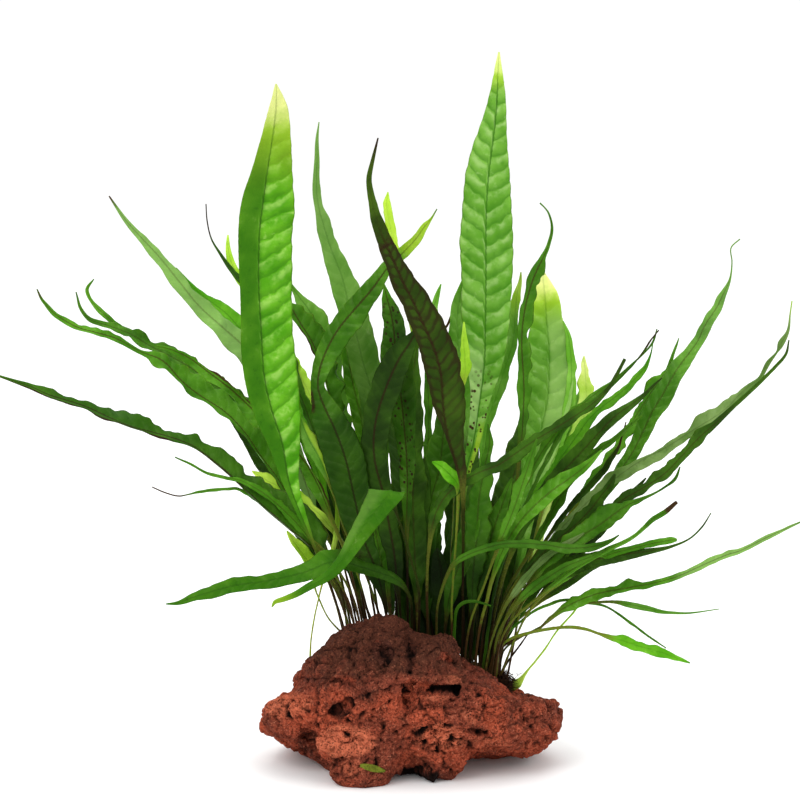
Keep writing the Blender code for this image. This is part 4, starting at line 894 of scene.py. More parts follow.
RIGHT_FRONDS = (
    Frond("right_dark_blunt", 428, -52, -18, Look.DARK, Habit.SLIM, ((427, 580, 1.6), (430, 540, 2.4),
        (436, 515, 4.5), (448, 497, 5), (463, 484, 4.2), (480, 474, 4.6), (500, 466, 5), (519, 453, 4.6),
        (538, 439, 4.4), (564, 423, 3.6), (589, 407, 3), (608, 389, 1.6), (617, 374, 1.4),
        (625, 359, 1.2)), marks=(Mark(Stain.BROWN, 0.85, 1, 0.4), )),
    Frond("right_whisker", 478, -44, -28, Look.GREEN, Habit.SLIM, ((492, 580, 1.4), (516, 505, 2),
        (540, 455, 3), (560, 428, 3.4), (580, 408, 3), (600, 391, 2.2), (612, 382, 1), (630, 366, 0.7),
        (645, 352, 0.7), (653, 342, 0.8), (657, 329, 0.4))),
    Frond("right_light", 479, -5, -32, Look.BRIGHT, Habit.SLIM, ((501, 580, 1.6), (530, 512, 3),
        (555, 468, 4), (573, 443, 4.2), (588, 422, 3.6), (600, 410, 3), (612, 401, 3), (624, 391, 2.8),
        (633, 382, 2.8), (641, 373, 2.4), (646, 366, 1.6), (651, 353, 0.6), (653, 342, 0.4))),
    Frond("right_dark_broad", 484, -24, -28, Look.DARK, Habit.BROAD, ((500, 590, 1.6), (516, 542, 3),
        (538, 502, 5), (562, 474, 5.8), (583, 450, 5.6), (602, 430, 5), (616, 416, 4.2), (634, 403, 2.6),
        (645, 394, 1.5), (655, 384, 0.9), (662, 378, 0.5))),
    Frond("right_big", 496, 14, -32, Look.GREEN, Habit.BROAD, ((512, 610, 1.6), (549, 560, 2.5),
        (588, 513, 4), (612, 481, 4.8), (633, 452, 5.6), (646, 427, 6.6), (653, 412, 7), (663, 396, 7.2),
        (675, 376, 6.8), (684, 363, 6.2), (692, 352, 5), (699, 341, 3.8), (706, 325, 4), (717, 308, 4),
        (724, 293, 2.4), (730, 279, 0.9), (732, 262, 0.5), (731, 248, 0.5), (740, 239, 0.5)), ribbing=0.6,
        marks=(Mark(Stain.SHADE, 0, 0.5, 0.1), Mark(Stain.LIGHT, 0.5, 1, 0.12),
        Mark(Stain.PALE, 0.6, 1, 0.2))),
    Frond("right_slender", 489, -14, -32, Look.GREEN, Habit.SLIM, ((503, 600, 1.4), (539, 538, 2.6),
        (562, 497, 3.4), (577, 471, 3.4), (590, 458, 3.4), (602, 448, 2.8), (613, 440, 2),
        (625, 430, 1.8), (635, 421, 1.2), (643, 415, 0.5))),
    Frond("right_far_high", 494, -21, -34, Look.GREY, Habit.RUFFLED, ((514, 600, 1.6), (545, 552, 2.6),
        (575, 516, 3.8), (600, 491, 4.4), (619, 478, 4.4), (645, 463, 4), (664, 453, 3.8),
        (683, 439, 3.8), (702, 424, 4.2), (728, 405, 4.2), (738, 396, 3.4), (750, 386, 2),
        (760, 378, 1.4), (768, 363, 1.8), (777, 352, 0.8), (781, 344, 2.4), (788, 331, 1.2),
        (790, 315, 0.6), (792, 301, 0.5)), ragged=0.4, marks=(Mark(Stain.SHADE, 0, 0.99, 0.14),
        Mark(Stain.YELLOW, 0.94, 1, 0.5), Mark(Stain.BROWN, 0.84, 0.88, 0.5))),
    Frond("right_far_low", 491, -43, -34, Look.DARK, Habit.SLIM, ((520, 607, 1.6), (560, 557, 3),
        (600, 520, 3.6), (625, 500, 3.8), (638, 492, 3.8), (664, 475, 4.2), (683, 456, 3.6),
        (702, 435, 3.4), (715, 424, 2.4), (735, 405, 1.6), (762, 380, 1.4), (775, 367, 1.2),
        (786, 354, 1), (789, 340, 0.5))),
    Frond("right_brown_patch", 489, -62, -28, Look.GREEN, Habit.SLIM, ((520, 600, 1.6), (555, 555, 4),
        (590, 530, 6.8), (613, 514, 6.4), (628, 506, 4), (640, 500, 1.8), (655, 493, 0.8),
        (665, 487, 0.8), (675, 479, 1.2), (680, 467, 0.5))),
    Frond("right_olive", 480, -38, -24, Look.DARK, Habit.SLIM, ((505, 602, 1.6), (530, 567, 3),
        (555, 543, 4), (575, 526, 4.4), (590, 511, 4.6), (602, 496, 4.4), (610, 485, 3.2),
        (615, 474, 0.8))),
    Frond("right_brown_tip", 493, -77, -26, Look.GREEN, Habit.SLIM, ((500, 643, 1.2), (511, 622, 1.3),
        (530, 604, 1.4), (575, 568, 2), (605, 551, 2), (630, 539, 1.4), (645, 527, 1.6), (653, 519, 1.9),
        (665, 512, 1.9), (677, 502, 1.2)), marks=(Mark(Stain.BROWN, 0.9, 1, 1), )),
    Frond("right_drooping", 487, -55, -18, Look.DARK, Habit.BROAD, ((509, 612, 1.8), (534, 585, 4),
        (555, 571, 6.2), (575, 565, 6.8), (600, 560, 6.2), (625, 555, 4.4), (651, 551, 2.2),
        (670, 547, 1.2), (689, 539, 0.7), (702, 527, 0.7), (711, 513, 0.4))),
    Frond("right_long_low", 497, -35, -28, Look.GREEN, Habit.RUFFLED, ((501, 650, 1.3), (515, 639, 1.3),
        (537, 630, 1.4), (552, 617, 2.4), (574, 605, 4), (600, 594, 4.4), (625, 588, 4.4),
        (637, 586, 3.4), (651, 584, 2.4), (677, 577, 2.4), (702, 566, 2.4), (728, 555, 2.8),
        (740, 551, 2), (766, 538, 1.7), (785, 529, 1.2), (805, 520, 0.5)), ragged=0.9, ribbing=0.7,
        marks=(Mark(Stain.LIGHT, 0.2, 0.99, 0.08), Mark(Stain.PALE, 0.62, 0.99, 0.35))),
    Frond("right_low_thin", 499, -18, -24, Look.FRESH, Habit.SLIM, ((503, 652, 1.2), (516, 640, 1.2),
        (542, 626, 1.2), (562, 612, 1.2), (582, 604, 1.5), (600, 602, 1.6), (613, 602, 1.8),
        (625, 604, 2.2), (645, 608, 2.4), (664, 612, 1.4), (689, 613, 0.7), (719, 609, 0.4))),
    Frond("right_low_arch", 495, -58, -24, Look.BRIGHT, Habit.SLIM, ((500, 648, 1.3), (510, 639, 1.5),
        (521, 635, 1.7), (542, 630, 1.8), (568, 627, 1.9), (585, 629, 1.7), (597, 633, 1.6),
        (612, 638, 3), (623, 641, 3.6), (638, 647, 3.6), (664, 655, 3.2), (679, 659, 1.8),
        (690, 663, 0.5)), ragged=1.2, ribbing=0.3, marks=(Mark(Stain.BROWN, 0.96, 1, 0.5), )),
    Frond("front_arch", 436, -80, -14, Look.GREEN, Habit.SLIM, ((437, 612, 1.3), (440, 596, 1.5),
        (446, 578, 1.9), (453, 565, 2.4), (464, 557, 2.6), (478, 551, 2.8), (504, 544, 2.8),
        (542, 545, 3), (568, 549, 3.4), (593, 547, 2.8), (610, 541, 1.4), (619, 535, 0.5))),
    Frond("front_inner", 464, -69, -12, Look.GREEN, Habit.SLIM, ((467, 640, 1.2), (471, 620, 1.2),
        (477, 603, 1.2), (485, 583, 1.3), (492, 563, 1.6), (501, 540, 2.6), (512, 512, 4), (523, 482, 4),
        (531, 458, 2.4), (537, 439, 0.5))),
    Frond("front_pale_stalk", 474, -60, -20, Look.GREEN, Habit.BROAD, ((478, 640, 1.3), (482, 618, 1.6),
        (487, 600, 2), (491, 583, 2.2), (498, 563, 2.6), (504, 549, 3.2), (515, 529, 4.6), (531, 509, 6),
        (551, 491, 6.4), (572, 476, 4.6), (590, 462, 2.4), (602, 450, 0.6))),
    Frond("front_low_right", 489, -84, -14, Look.GREEN, Habit.SLIM, ((494, 655, 1.2), (497, 638, 1.3),
        (504, 622, 1.5), (516, 605, 2.2), (531, 590, 3), (546, 579, 3.4), (566, 567, 3), (590, 557, 1.8),
        (606, 549, 0.5))),
    Frond("back_right_high", 486, 58, -28, Look.FRESH, Habit.BROAD, ((510, 590, 1.6), (540, 530, 5),
        (558, 480, 8), (568, 440, 8), (576, 408, 4), (582, 386, 0.6))),
    Frond("back_right_low", 494, 64, -30, Look.DARK, Habit.SLIM, ((501, 645, 1.3), (512, 622, 1.6),
        (534, 602, 2), (574, 557, 4.5), (600, 528, 5), (620, 506, 4), (636, 489, 2), (646, 478, 0.6))),
)

INNER_FRONDS = (
    Frond("lime_sprout", 470, -22, 10, Look.LIME, Habit.SLIM, ((468, 560, 1.3), (463, 490, 1.3),
        (460, 455, 1.3), (457, 425, 1.3), (460, 395, 1.5), (465, 373, 3.4), (465, 358, 4),
        (464, 342, 2.6), (464, 322, 0.5)), marks=(Mark(Stain.SHADE, 0, 0.6, 0.3),
        Mark(Stain.SHADE, 0.6, 0.99, 0.12))),
    Frond("back_thin_tip", 446, 40, 10, Look.FRESH, Habit.SLIM, ((455, 480, 1.3), (452, 440, 1.4),
        (447, 405, 1.8), (440, 370, 2.4), (434, 335, 3), (433, 312, 3), (437, 296, 2), (441, 284, 0.5)),
        marks=(Mark(Stain.SHADE, 0.7, 0.99, 0.1), )),
    Frond("back_curl", 448, 34, 10, Look.DARK, Habit.WHISKER, ((456, 480, 0.8), (452, 430, 0.8),
        (449, 390, 0.8), (443, 352, 0.8), (445, 330, 0.8), (449, 322, 0.9), (452, 311, 0.4)),
        marks=(Mark(Stain.BROWN, 0.4, 1, 1), )),
    Frond("slim_beside_yellow", 506, 26, 20, Look.FRESH, Habit.SLIM, ((530, 560, 1.5), (550, 480, 2.5),
        (563, 430, 3.5), (569, 400, 3.8), (571, 371, 3.4), (570, 350, 2.8), (568, 335, 2),
        (563, 321, 0.5))),
    Frond("centre_back_thin", 432, 55, 20, Look.GREEN, Habit.SLIM, ((434, 540, 5), (430, 480, 5),
        (428, 440, 3), (428, 400, 3), (427, 375, 2), (425, 355, 0.5))),
    Frond("centre_small_bent", 452, -56, 12, Look.BRIGHT, Habit.SLIM, ((452, 600, 1.2), (456, 540, 1.4),
        (458, 500, 2), (457, 484, 3), (448, 472, 5), (440, 465, 4), (432, 462, 0.5))),
    Frond("left_pale_lime_tip", 368, 50, 20, Look.LIME, Habit.SLIM, ((350, 540, 1.4), (310, 400, 4),
        (280, 340, 5), (255, 300, 4), (240, 280, 3), (231, 262, 2.6), (228, 248, 2), (228, 235, 0.6))),
    Frond("left_shrivelled", 356, -42, 20, Look.GREEN, Habit.WHISKER, ((348, 600, 1.2), (325, 560, 1.6),
        (300, 528, 3), (275, 502, 3.4), (255, 488, 2.4), (239, 480, 1.6), (227, 478, 1.4), (207, 473, 1),
        (192, 465, 1), (175, 457, 0.5))),
    Frond("left_whisker_low", 362, -38, 20, Look.GREEN, Habit.WHISKER, ((352, 595, 1.2), (328, 556, 1.6),
        (302, 532, 3), (278, 512, 3), (258, 500, 2), (238, 489, 1.2), (227, 489, 1.1), (205, 491, 1.3),
        (190, 494, 0.6), (179, 496, 0.6), (166, 493, 0.5), (152, 487, 0.5)),
        marks=(Mark(Stain.BROWN, 0.75, 1, 0.8), )),
    Frond("left_lime_tip_mid", 372, 12, 20, Look.LIME, Habit.SLIM, ((352, 560, 1.4), (325, 520, 3),
        (300, 498, 4), (281, 486, 4.5), (268, 480, 4), (260, 476, 3), (252, 471, 0.5)),
        marks=(Mark(Stain.SHADE, 0, 0.6, 0.4), )),
    Frond("left_thin_outer", 310, 8, 10, Look.LIME, Habit.SLIM, ((311, 640, 0.9), (314, 620, 0.9),
        (318, 601, 0.9), (322, 585, 1.1), (330, 560, 1.6), (336, 535, 2), (338, 510, 2), (336, 480, 1.4),
        (334, 460, 0.5)), marks=(Mark(Stain.GREEN, 0, 0.4, 1), Mark(Stain.SHADE, 0.3, 1, 0.6))),
    Frond("left_back_lowest", 344, 78, 30, Look.DARK, Habit.BROAD, ((335, 600, 1.5), (322, 565, 3),
        (305, 540, 5), (284, 512, 5.5), (262, 494, 4), (244, 480, 2), (232, 470, 0.6))),
    Frond("right_side_whisker", 494, 20, -20, Look.GREEN, Habit.WHISKER, ((520, 600, 1.4), (560, 530, 2),
        (600, 470, 3), (630, 430, 4), (648, 400, 4), (660, 380, 4), (668, 370, 2.6), (671, 360, 1.4),
        (675, 349, 1), (679, 338, 0.4))),
    Frond("right_whisker_high", 488, -6, -20, Look.DARK, Habit.WHISKER, ((515, 590, 1.4), (560, 520, 2),
        (590, 485, 2.4), (605, 469, 2.2), (613, 456, 1.8), (619, 446, 0.9), (622, 436, 0.6),
        (626, 422, 0.4)), marks=(Mark(Stain.BROWN, 0.8, 1, 0.8), )),
    Frond("right_blunt_light", 497, -54, -14, Look.GREEN, Habit.SLIM, ((530, 610, 1.4), (570, 575, 2.4),
        (605, 556, 2.6), (638, 547, 2.4), (660, 542, 2.6), (672, 540, 2.2), (677, 540, 1))),
    Frond("right_beaded", 496, -8, -10, Look.GREEN, Habit.WHISKER, ((503, 640, 1), (530, 614, 1),
        (545, 606, 1.2), (565, 600, 1.2), (590, 603, 1.2), (607, 607, 0.9), (632, 624, 1),
        (651, 638, 0.8), (666, 648, 0.5))),
    Frond("right_shoot", 508, 15, -10, Look.LIME, Habit.WHISKER, ((512, 690, 1.6), (516, 685, 3.2),
        (521, 679, 2), (528, 670, 0.9), (542, 653, 0.7), (557, 631, 0.7), (573, 613, 0.7),
        (580, 603, 0.5)), marks=(Mark(Stain.SHADE, 0, 0.99, 0.25), )),
    Frond("right_dark_stub", 500, 5, -10, Look.OLIVE, Habit.WHISKER, ((504, 668, 0.8), (512, 656, 0.7),
        (520, 645, 0.7), (528, 634, 0.5)), marks=(Mark(Stain.BROWN, 0, 1, 1), )),
    Frond("front_small_arch", 453, -72, -10, Look.GREEN, Habit.SLIM, ((455, 620, 1), (457, 609, 1.3),
        (463, 603, 1.3), (472, 601, 1.1), (482, 603, 0.8), (491, 606, 0.5)),
        marks=(Mark(Stain.SHADE, 0, 0.99, 0.2), )),
    Frond("front_grey_green", 484, -66, -16, Look.GREY, Habit.SLIM, ((492, 640, 1.2), (505, 607, 1.8),
        (515, 592, 2.4), (527, 577, 2.6), (540, 562, 2.6), (556, 550, 2.6), (572, 541, 2),
        (584, 533, 0.6)), marks=(Mark(Stain.SHADE, 0, 1, 0.2), )),
    Frond("back_right_lowest", 494, 75, -30, Look.DARK, Habit.BROAD, ((505, 635, 1.3), (530, 610, 1.6),
        (560, 588, 3.5), (600, 562, 4), (628, 556, 3), (650, 552, 1.5), (664, 548, 0.5))),
    Frond("right_forked_tip", 482, -47, -20, Look.GREEN, Habit.WHISKER, ((500, 570, 1.2), (560, 436, 1.6),
        (600, 396, 1.2), (630, 368, 0.7), (643, 352, 0.6), (651, 340, 0.6), (659, 330, 0.4)),
        marks=(Mark(Stain.BROWN, 0.8, 1, 0.7), )),
    # The crown leaves below fill the heart of the clump; their dark finish is partly painted shade.
    Frond("crown_dark_left", 414, 30, 20, Look.DARK, Habit.BROAD, ((413, 600, 4), (414, 570, 8),
        (417, 530, 9), (420, 490, 7.5), (423, 468, 4), (425, 457, 0.6))),
    Frond("crown_dark_middle", 440, 25, -16, Look.DARK, Habit.BROAD, ((440, 625, 6), (441, 595, 7.5),
        (441, 572, 7), (438, 555, 4), (437, 548, 0.6))),
    Frond("crown_dark_right", 458, 34, -16, Look.DARK, Habit.BROAD, ((459, 630, 6), (461, 590, 8.5),
        (464, 555, 9), (467, 520, 8), (470, 490, 5), (472, 465, 0.6))),
    Frond("crown_dark_far_right", 480, 38, -20, Look.DARK, Habit.BROAD, ((485, 632, 5.5), (491, 590, 7),
        (500, 560, 8), (512, 530, 8), (522, 500, 6), (530, 475, 3), (536, 455, 0.6))),
    Frond("crown_dark_low_left", 392, 36, 20, Look.DARK, Habit.BROAD, ((390, 600, 4), (388, 570, 7.5),
        (385, 540, 8), (384, 510, 6), (386, 490, 3), (388, 478, 0.6))),
    Frond("crown_dark_left_edge", 366, 42, 24, Look.DARK, Habit.BROAD, ((354, 580, 3), (343, 552, 6),
        (331, 527, 7), (320, 507, 6), (309, 487, 4), (299, 470, 0.6))),
    Frond("crown_green_right", 470, -16, -16, Look.GREEN, Habit.BROAD, ((474, 615, 2), (480, 580, 5),
        (488, 548, 7), (497, 520, 6.5), (505, 497, 4), (512, 478, 0.6))),
    Frond("crown_green_front", 444, -24, -10, Look.GREEN, Habit.BROAD, ((446, 620, 2), (452, 590, 5),
        (461, 560, 7.5), (470, 530, 7), (477, 505, 4), (482, 486, 0.6))),
    Frond("crown_back_left", 404, 60, 20, Look.DARK, Habit.BROAD, ((405, 640, 7), (406, 610, 9),
        (407, 570, 9), (410, 530, 9), (414, 500, 5), (417, 480, 0.6))),
    Frond("crown_back_middle", 424, 66, 12, Look.DARK, Habit.BROAD, ((426, 640, 8), (427, 612, 10),
        (429, 582, 8.5), (430, 560, 5), (431, 547, 0.6))),
    Frond("crown_back_inner", 446, 72, -12, Look.DARK, Habit.BROAD, ((447, 648, 7), (449, 615, 9),
        (452, 580, 9.5), (456, 550, 9), (460, 520, 6), (463, 500, 0.6))),
    Frond("crown_back_right", 468, 66, -16, Look.DARK, Habit.BROAD, ((469, 658, 7), (473, 620, 9),
        (478, 585, 9.5), (484, 550, 9.5), (490, 520, 7), (496, 495, 0.6))),
    Frond("crown_back_far_right", 488, 60, -20, Look.DARK, Habit.BROAD, ((488, 668, 6), (495, 634, 7),
        (505, 600, 7.5), (514, 570, 8.5), (525, 540, 8), (537, 515, 5), (546, 498, 0.6))),
    Frond("crown_back_outer", 496, 52, -20, Look.DARK, Habit.BROAD, ((499, 655, 2), (508, 632, 3),
        (522, 606, 5), (540, 580, 6), (560, 558, 5), (578, 540, 0.6))),
)


class Tubes:
    """A mesh that rings of points are added to, each row of rings becoming one closed body."""

    def __init__(self, name: str, traits: tuple[str, ...] = ()) -> None:
        """Starts an empty mesh.

        Args:
            name: The piece's name.
            traits: Names under which each of its points carries three numbers.
        """
        self.name = name
        self.shape = bmesh.new()
        self.traits = [self.shape.verts.layers.float_vector.new(trait) for trait in traits]

    def add(self, rings: list[list[Place]], traits: list[list[tuple]] | None = None) -> None:
        """Adds one body.

        Args:
            rings: Rings of as many points each, from one end to the other.
            traits: For each ring and point, its three numbers under each trait.
        """
        across = len(rings[0])
        grid = bmesh.ops.create_grid(self.shape, x_segments=across, y_segments=len(rings) - 1, size=1.0)
        corners = grid["verts"]
        for index, corner in enumerate(corners):
            row, column = divmod(index, across + 1)
            corner.co = rings[row][column % across]
            if traits:
                for layer, value in zip(self.traits, traits[row][column % across]):
                    corner[layer] = value
        starts = range(0, len(corners), across + 1)
        seam = {corners[start + across]: corners[start] for start in starts}
        ends = (corners[:across], corners[-across - 1:-1])
        bmesh.ops.weld_verts(self.shape, targetmap=seam)
        for end in ends:
            rim = {edge for corner in end for edge in corner.link_edges if edge.is_boundary}
            bmesh.ops.holes_fill(self.shape, edges=list(rim), sides=0)

    def finish(self, material: Material) -> Piece:
        """Closes the mesh.

        Args:
            material: Its finish.

        Returns:
            The linked object, smooth shaded.
        """
        bmesh.ops.recalc_face_normals(self.shape, faces=self.shape.faces)
        for face in self.shape.faces:
            face.smooth = True
        return new_piece(self.name, self.shape, material)


def new_piece(name: str, shape: bmesh.types.BMesh, material: Material) -> Piece:
    """A linked object that takes over a bmesh.

    Args:
        name: The piece's name.
        shape: Its mesh, which is freed.
        material: Its finish.

    Returns:
        The object.
    """
    mesh = bpy.data.meshes.new(name)
    shape.to_mesh(mesh)
    shape.free()
    mesh.materials.append(material)
    piece = bpy.data.objects.new(name, mesh)
    bpy.context.scene.collection.objects.link(piece)
    return piece


def report(piece: Piece) -> None:
    """Logs a finished piece."""
    logging.info("%s: %d faces", piece.name, len(piece.data.polygons))


@dataclass
class Rhizome:
    """The creeping stem: an oval scaly rod over the top of the stone, which every leaf stands on."""

    sight: Sight
    route: tuple = (
        (308, 664, 1.5, 1.2), (322, 652, 2.2, 1.6), (342, 641, 4.0, 2.4), (360, 635, 7.0, 3.0),
        (385, 633, 8.0, 3.2), (410, 640, 8.0, 3.2), (432, 650, 8.0, 3.2), (455, 662, 8.0, 3.2),
        (478, 673, 7.5, 3.2), (498, 684, 6.0, 3.4), (509, 692, 3.0, 2.2),
    )
    depth: float = 6 * MM
    bump: float = 0.35 * MM
    grain: float = 4 * MM
    scale: float = 1.1 * MM
    scale_height: float = 0.45 * MM
    rings: int = 170
    sides: int = 60

    def middle(self, across: float, down: float) -> Place:
        """A place on the stem's middle line, seen at a pixel."""
        return self.sight.seen(across, down, self.depth)

    def above(self, across: float, down: float) -> float:
        """How far a pixel lies from the seen line of the stem.

        Args:
            across: Pixels from the left of the photograph.
            down: Pixels from its top.

        Returns:
            Metres, at the stem's distance.
        """
        stretches = zip(self.route, self.route[1:])
        return min(beside((across, down), low, high)[1] for low, high in stretches) * self.sight.pixel

    def build(self, finish: Material) -> Piece:
        """Builds the stem itself, ribbed and lumpy.

        Args:
            finish: Its material.

        Returns:
            The piece.
        """
        tubes = Tubes("creeping_stem")
        rings = []
        for across, down, half_depth, half_height in smooth_read(list(self.route), self.rings):
            middle = self.middle(across, down)
            ring = []
            for side in range(self.sides):
                turn = math.tau * side / self.sides
                out = Vector((0.0, math.cos(turn) * half_depth, math.sin(turn) * half_height)) * MM
                place = middle + out
                lump = noise.noise(place / self.grain) * self.bump
                scale = abs(noise.noise(place / self.scale)) * self.scale_height
                ring.append(place + out.normalized() * (lump + scale))
            rings.append(ring)
        tubes.add(rings)
        return tubes.finish(finish)


@dataclass
class Leaf:
    """One leaf's mesh along its route, from its seat on the creeping stem to its tip.

    tone is how light it is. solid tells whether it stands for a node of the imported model. Widths of the whole
    blade or of a half, and the lengths of waves, are in mm. Leaves wider than nick_half and teeth_half have
    smaller nicks and teeth. Fades are shares of the length or width over which one look gives way to another.
    """

    frond: Frond
    sight: Sight
    stem: Rhizome
    tone: float
    solid: bool
    full_reach: float = 160 * MM
    lean_power: float = 1.3
    root_spread: float = 0.085
    seat_gap: float = 0.35 * MM
    rooting: float = 1.4 * MM
    stalk_width: float = 1.3
    stalk_thickness: float = 1.1 * MM
    blade_thickness: float = 0.5 * MM
    tip_thickness: float = 0.3 * MM
    full_roll_width: float = 4.0
    narrowest: float = 0.35
    fold_softness: float = 0.05
    crest_reach: float = 0.1
    crest_pull: float = 3.0
    stalk_slimness: float = 0.34
    stalk_until: float = 1.6
    stalk_fade: float = 0.08
    blade_from: float = 3.4
    blade_width: float = 2.3
    blade_share: float = 0.75
    full_offset_width: float = 5.0
    full_wave_half: float = 2.5
    most_wave: float = 1.6
    full_quilt_half: float = 5.0
    vein_bend: tuple[float, float] = (0.6, 0.5)
    vein_stagger: float = 0.31
    swell_skew: float = 1.4
    swell_middle: float = 0.55
    least_margin: float = 0.3
    least_blade: float = 0.35
    loop_evenness: float = 0.6
    mark_fade: float = 0.07
    side_fade: float = 0.2
    edge_fade: float = 0.25
    recentre_fade: float = 0.25
    earth: float = 0.72
    earth_swing: float = 0.8
    earth_until: float = 0.3
    earth_fade: float = 0.26
    patches: float = 0.3
    patch_length: float = 9.0
    bead: float = 0.16
    bead_length: float = 1.1
    sway: float = 1.2
    sway_length: float = 28.0
    sway_limit: float = 0.8
    drift: float = 0.5 * MM
    drift_length: float = 17.0
    nick_half: float = 2.6 * MM
    teeth: float = 0.06
    teeth_length: float = 1.3
    teeth_half: float = 1.8 * MM
    rib_height: float = 0.2 * MM
    rib_spread: float = 0.5
    heart: tuple[float, float] = (446, 600)
    heart_size: float = 95.0
    heart_shade: float = 0.34
    heart_front: float = -70.0
    heart_back: float = -40.0

    def __post_init__(self) -> None:
        """Takes up the leaf's kind, the place of its own noise and where it folds."""
        self.growth = self.frond.habit.value
        self.seed = Vector((self.frond.root, self.frond.lean, len(self.frond.route))) * 0.37
        self.fold_share = 0.0

    def depth_at(self, across: float, down: float) -> float:
        """The leaf's depth where it is seen at a pixel: leaves of different leans never meet there."""
        reach = self.stem.above(across, down) / self.full_reach
        return self.stem.depth + self.frond.lean * MM * (self.root_spread + reach**self.lean_power)

    def seat(self) -> tuple[float, float]:
        """Finds where the stalk stands on the top of the stem.

        Returns:
            The pixel at which it is seen.
        """
        across, down, half_depth, half_height = read_line(self.stem.route, self.frond.root)
        offset = self.frond.lean * MM * self.root_spread
        share = min(abs(offset) / (half_depth * MM), 0.95)
        rise = half_height * MM * math.sqrt(1 - share**2) + self.stem.bump + self.seat_gap - self.rooting
        return self.sight.pixel_of(self.stem.middle(across, down) + Vector((0.0, offset, rise)))

    def stray(self, run: float, lane: tuple[float, float] = (0.0, 0.0), times: float = 1.0) -> float:
        """The leaf's own noise.

        Args:
            run: The place along it.
            lane: The lane of it that is read.
            times: How many times as far out the lane lies.

        Returns:
            A value about 0.
        """
        return noise.noise(self.seed + Vector((0.0, *lane)) * times + Vector((run, 0.0, 0.0)))

    def line(self) -> list[tuple[Place, float, float]]:
        """The leaf's middle line.

        Returns:
            Even stations of place, width in mm and share of the length.
        """
        points = [(*self.seat(), self.stalk_width), *self.frond.route]
        runs = [math.hypot(b[0] - a[0], b[1] - a[1]) for a, b in zip(points, points[1:])]
        length = sum(runs)
        self.fold_share = sum(runs[:self.frond.fold]) / length
        count = max(int(length * self.sight.pixel / MM / self.growth.step), 12)
        stations = []
        for index, (across, down, width) in enumerate(smooth_read(points, count)):
            share = index / (count - 1)
            depth = self.depth_at(across, down)
            if self.frond.fold:
                turn = smooth_step((share - self.fold_share) / self.fold_softness + 0.5)
                depth -= self.frond.fold_reach * MM * turn
            stations.append((self.sight.seen(across, down, depth), max(width, self.narrowest), share))
        return stations

    def frames(self, stations: list[tuple[Place, float, float]]) -> list[tuple[Vector, Vector, float]]:
        """The blade's directions at each station.

        Args:
            stations: The middle line.

        Returns:
            For each, across the blade, out of its face, and the cosine of its roll.
        """
        frames = []
        across = self.sight.right
        crest = self.sight.right * self.frond.crest[0] - self.sight.upward * self.frond.crest[1]
        crest.normalize()
        line = [place for place, _, _ in stations]
        for index, (place, width, share) in enumerate(stations):
            along = along_line(line, index)
            flat = along.cross(self.sight.eye - place) / self.sight.distance
            if self.frond.fold:
                flat = flat if flat.dot(across) > 0 else -flat
                nearness = 1 - smooth_step(abs(share - self.fold_share) / self.crest_reach)
                flat += crest * self.crest_pull * nearness
            across = flat.normalized()
            facing = across.cross(along).normalized()
            turn = math.radians(self.frond.roll) * smooth_step(width / self.full_roll_width)
            frames.append((across * math.cos(turn) - facing * math.sin(turn),
                           facing * math.cos(turn) + across * math.sin(turn), math.cos(turn)))
        return frames

    def stains(self, share: float, side: float) -> tuple[float, ...]:
        """What the leaf shows at a place on it: stains, and the painted sheen, shade and light of its marks.

        Args:
            share: How far along it, from 0 to 1.
            side: How far across, -1 to 1.

        Returns:
            How yellow, brown, pale (partly painted sheen) and spotted it is there, its tone with painted shade
            and light, and how fresh a green.
        """
        sums = [0.0, 0.0, 0.0, 0.0, self.tone, 0.0]
        for mark in self.frond.marks:
            if mark.end < 1:
                soft = min(self.mark_fade, (mark.end - mark.start) / 2)
                grip = smooth_step((share - mark.start) / soft + 0.5)
                grip *= smooth_step((mark.end - share) / soft + 0.5)
            else:
                grip = smooth_step(1.2 * (share - mark.start) / (1 - mark.start))
            if mark.side:
                grip *= smooth_step(side * mark.side / self.side_fade + 0.2)
            if mark.edge:
                grip *= smooth_step((abs(side) - mark.edge) / self.edge_fade + 0.5)
            for index, weight in enumerate(mark.stain.value):
                sums[index] += weight * grip * mark.strength
        return tuple(clamp(value) for value in sums)

    def gloom(self, place: Place) -> float:
        """How deep in the shaded heart of the plant a place is. Leaves in front stay out of it.

        Args:
            place: The place.

        Returns:
            The depth, from 0 to 1.
        """
        across, down = self.sight.pixel_of(place)
        far = math.hypot((across - self.heart[0]) / self.heart_size, (down - self.heart[1]) / self.heart_size)
        behind = (self.frond.lean - self.heart_front) / (self.heart_back - self.heart_front)
        return smooth_step((1 - far) * 1.6) * smooth_step(behind)

    def stalk_end(self, stations: list[tuple[Place, float, float]]) -> float:
        """The share of the length at which the stalk widens into the blade."""
        wanted = min(self.blade_width, max(width for _, width, _ in stations) * self.blade_share)
        return next(share for _, width, share in stations if width > wanted)

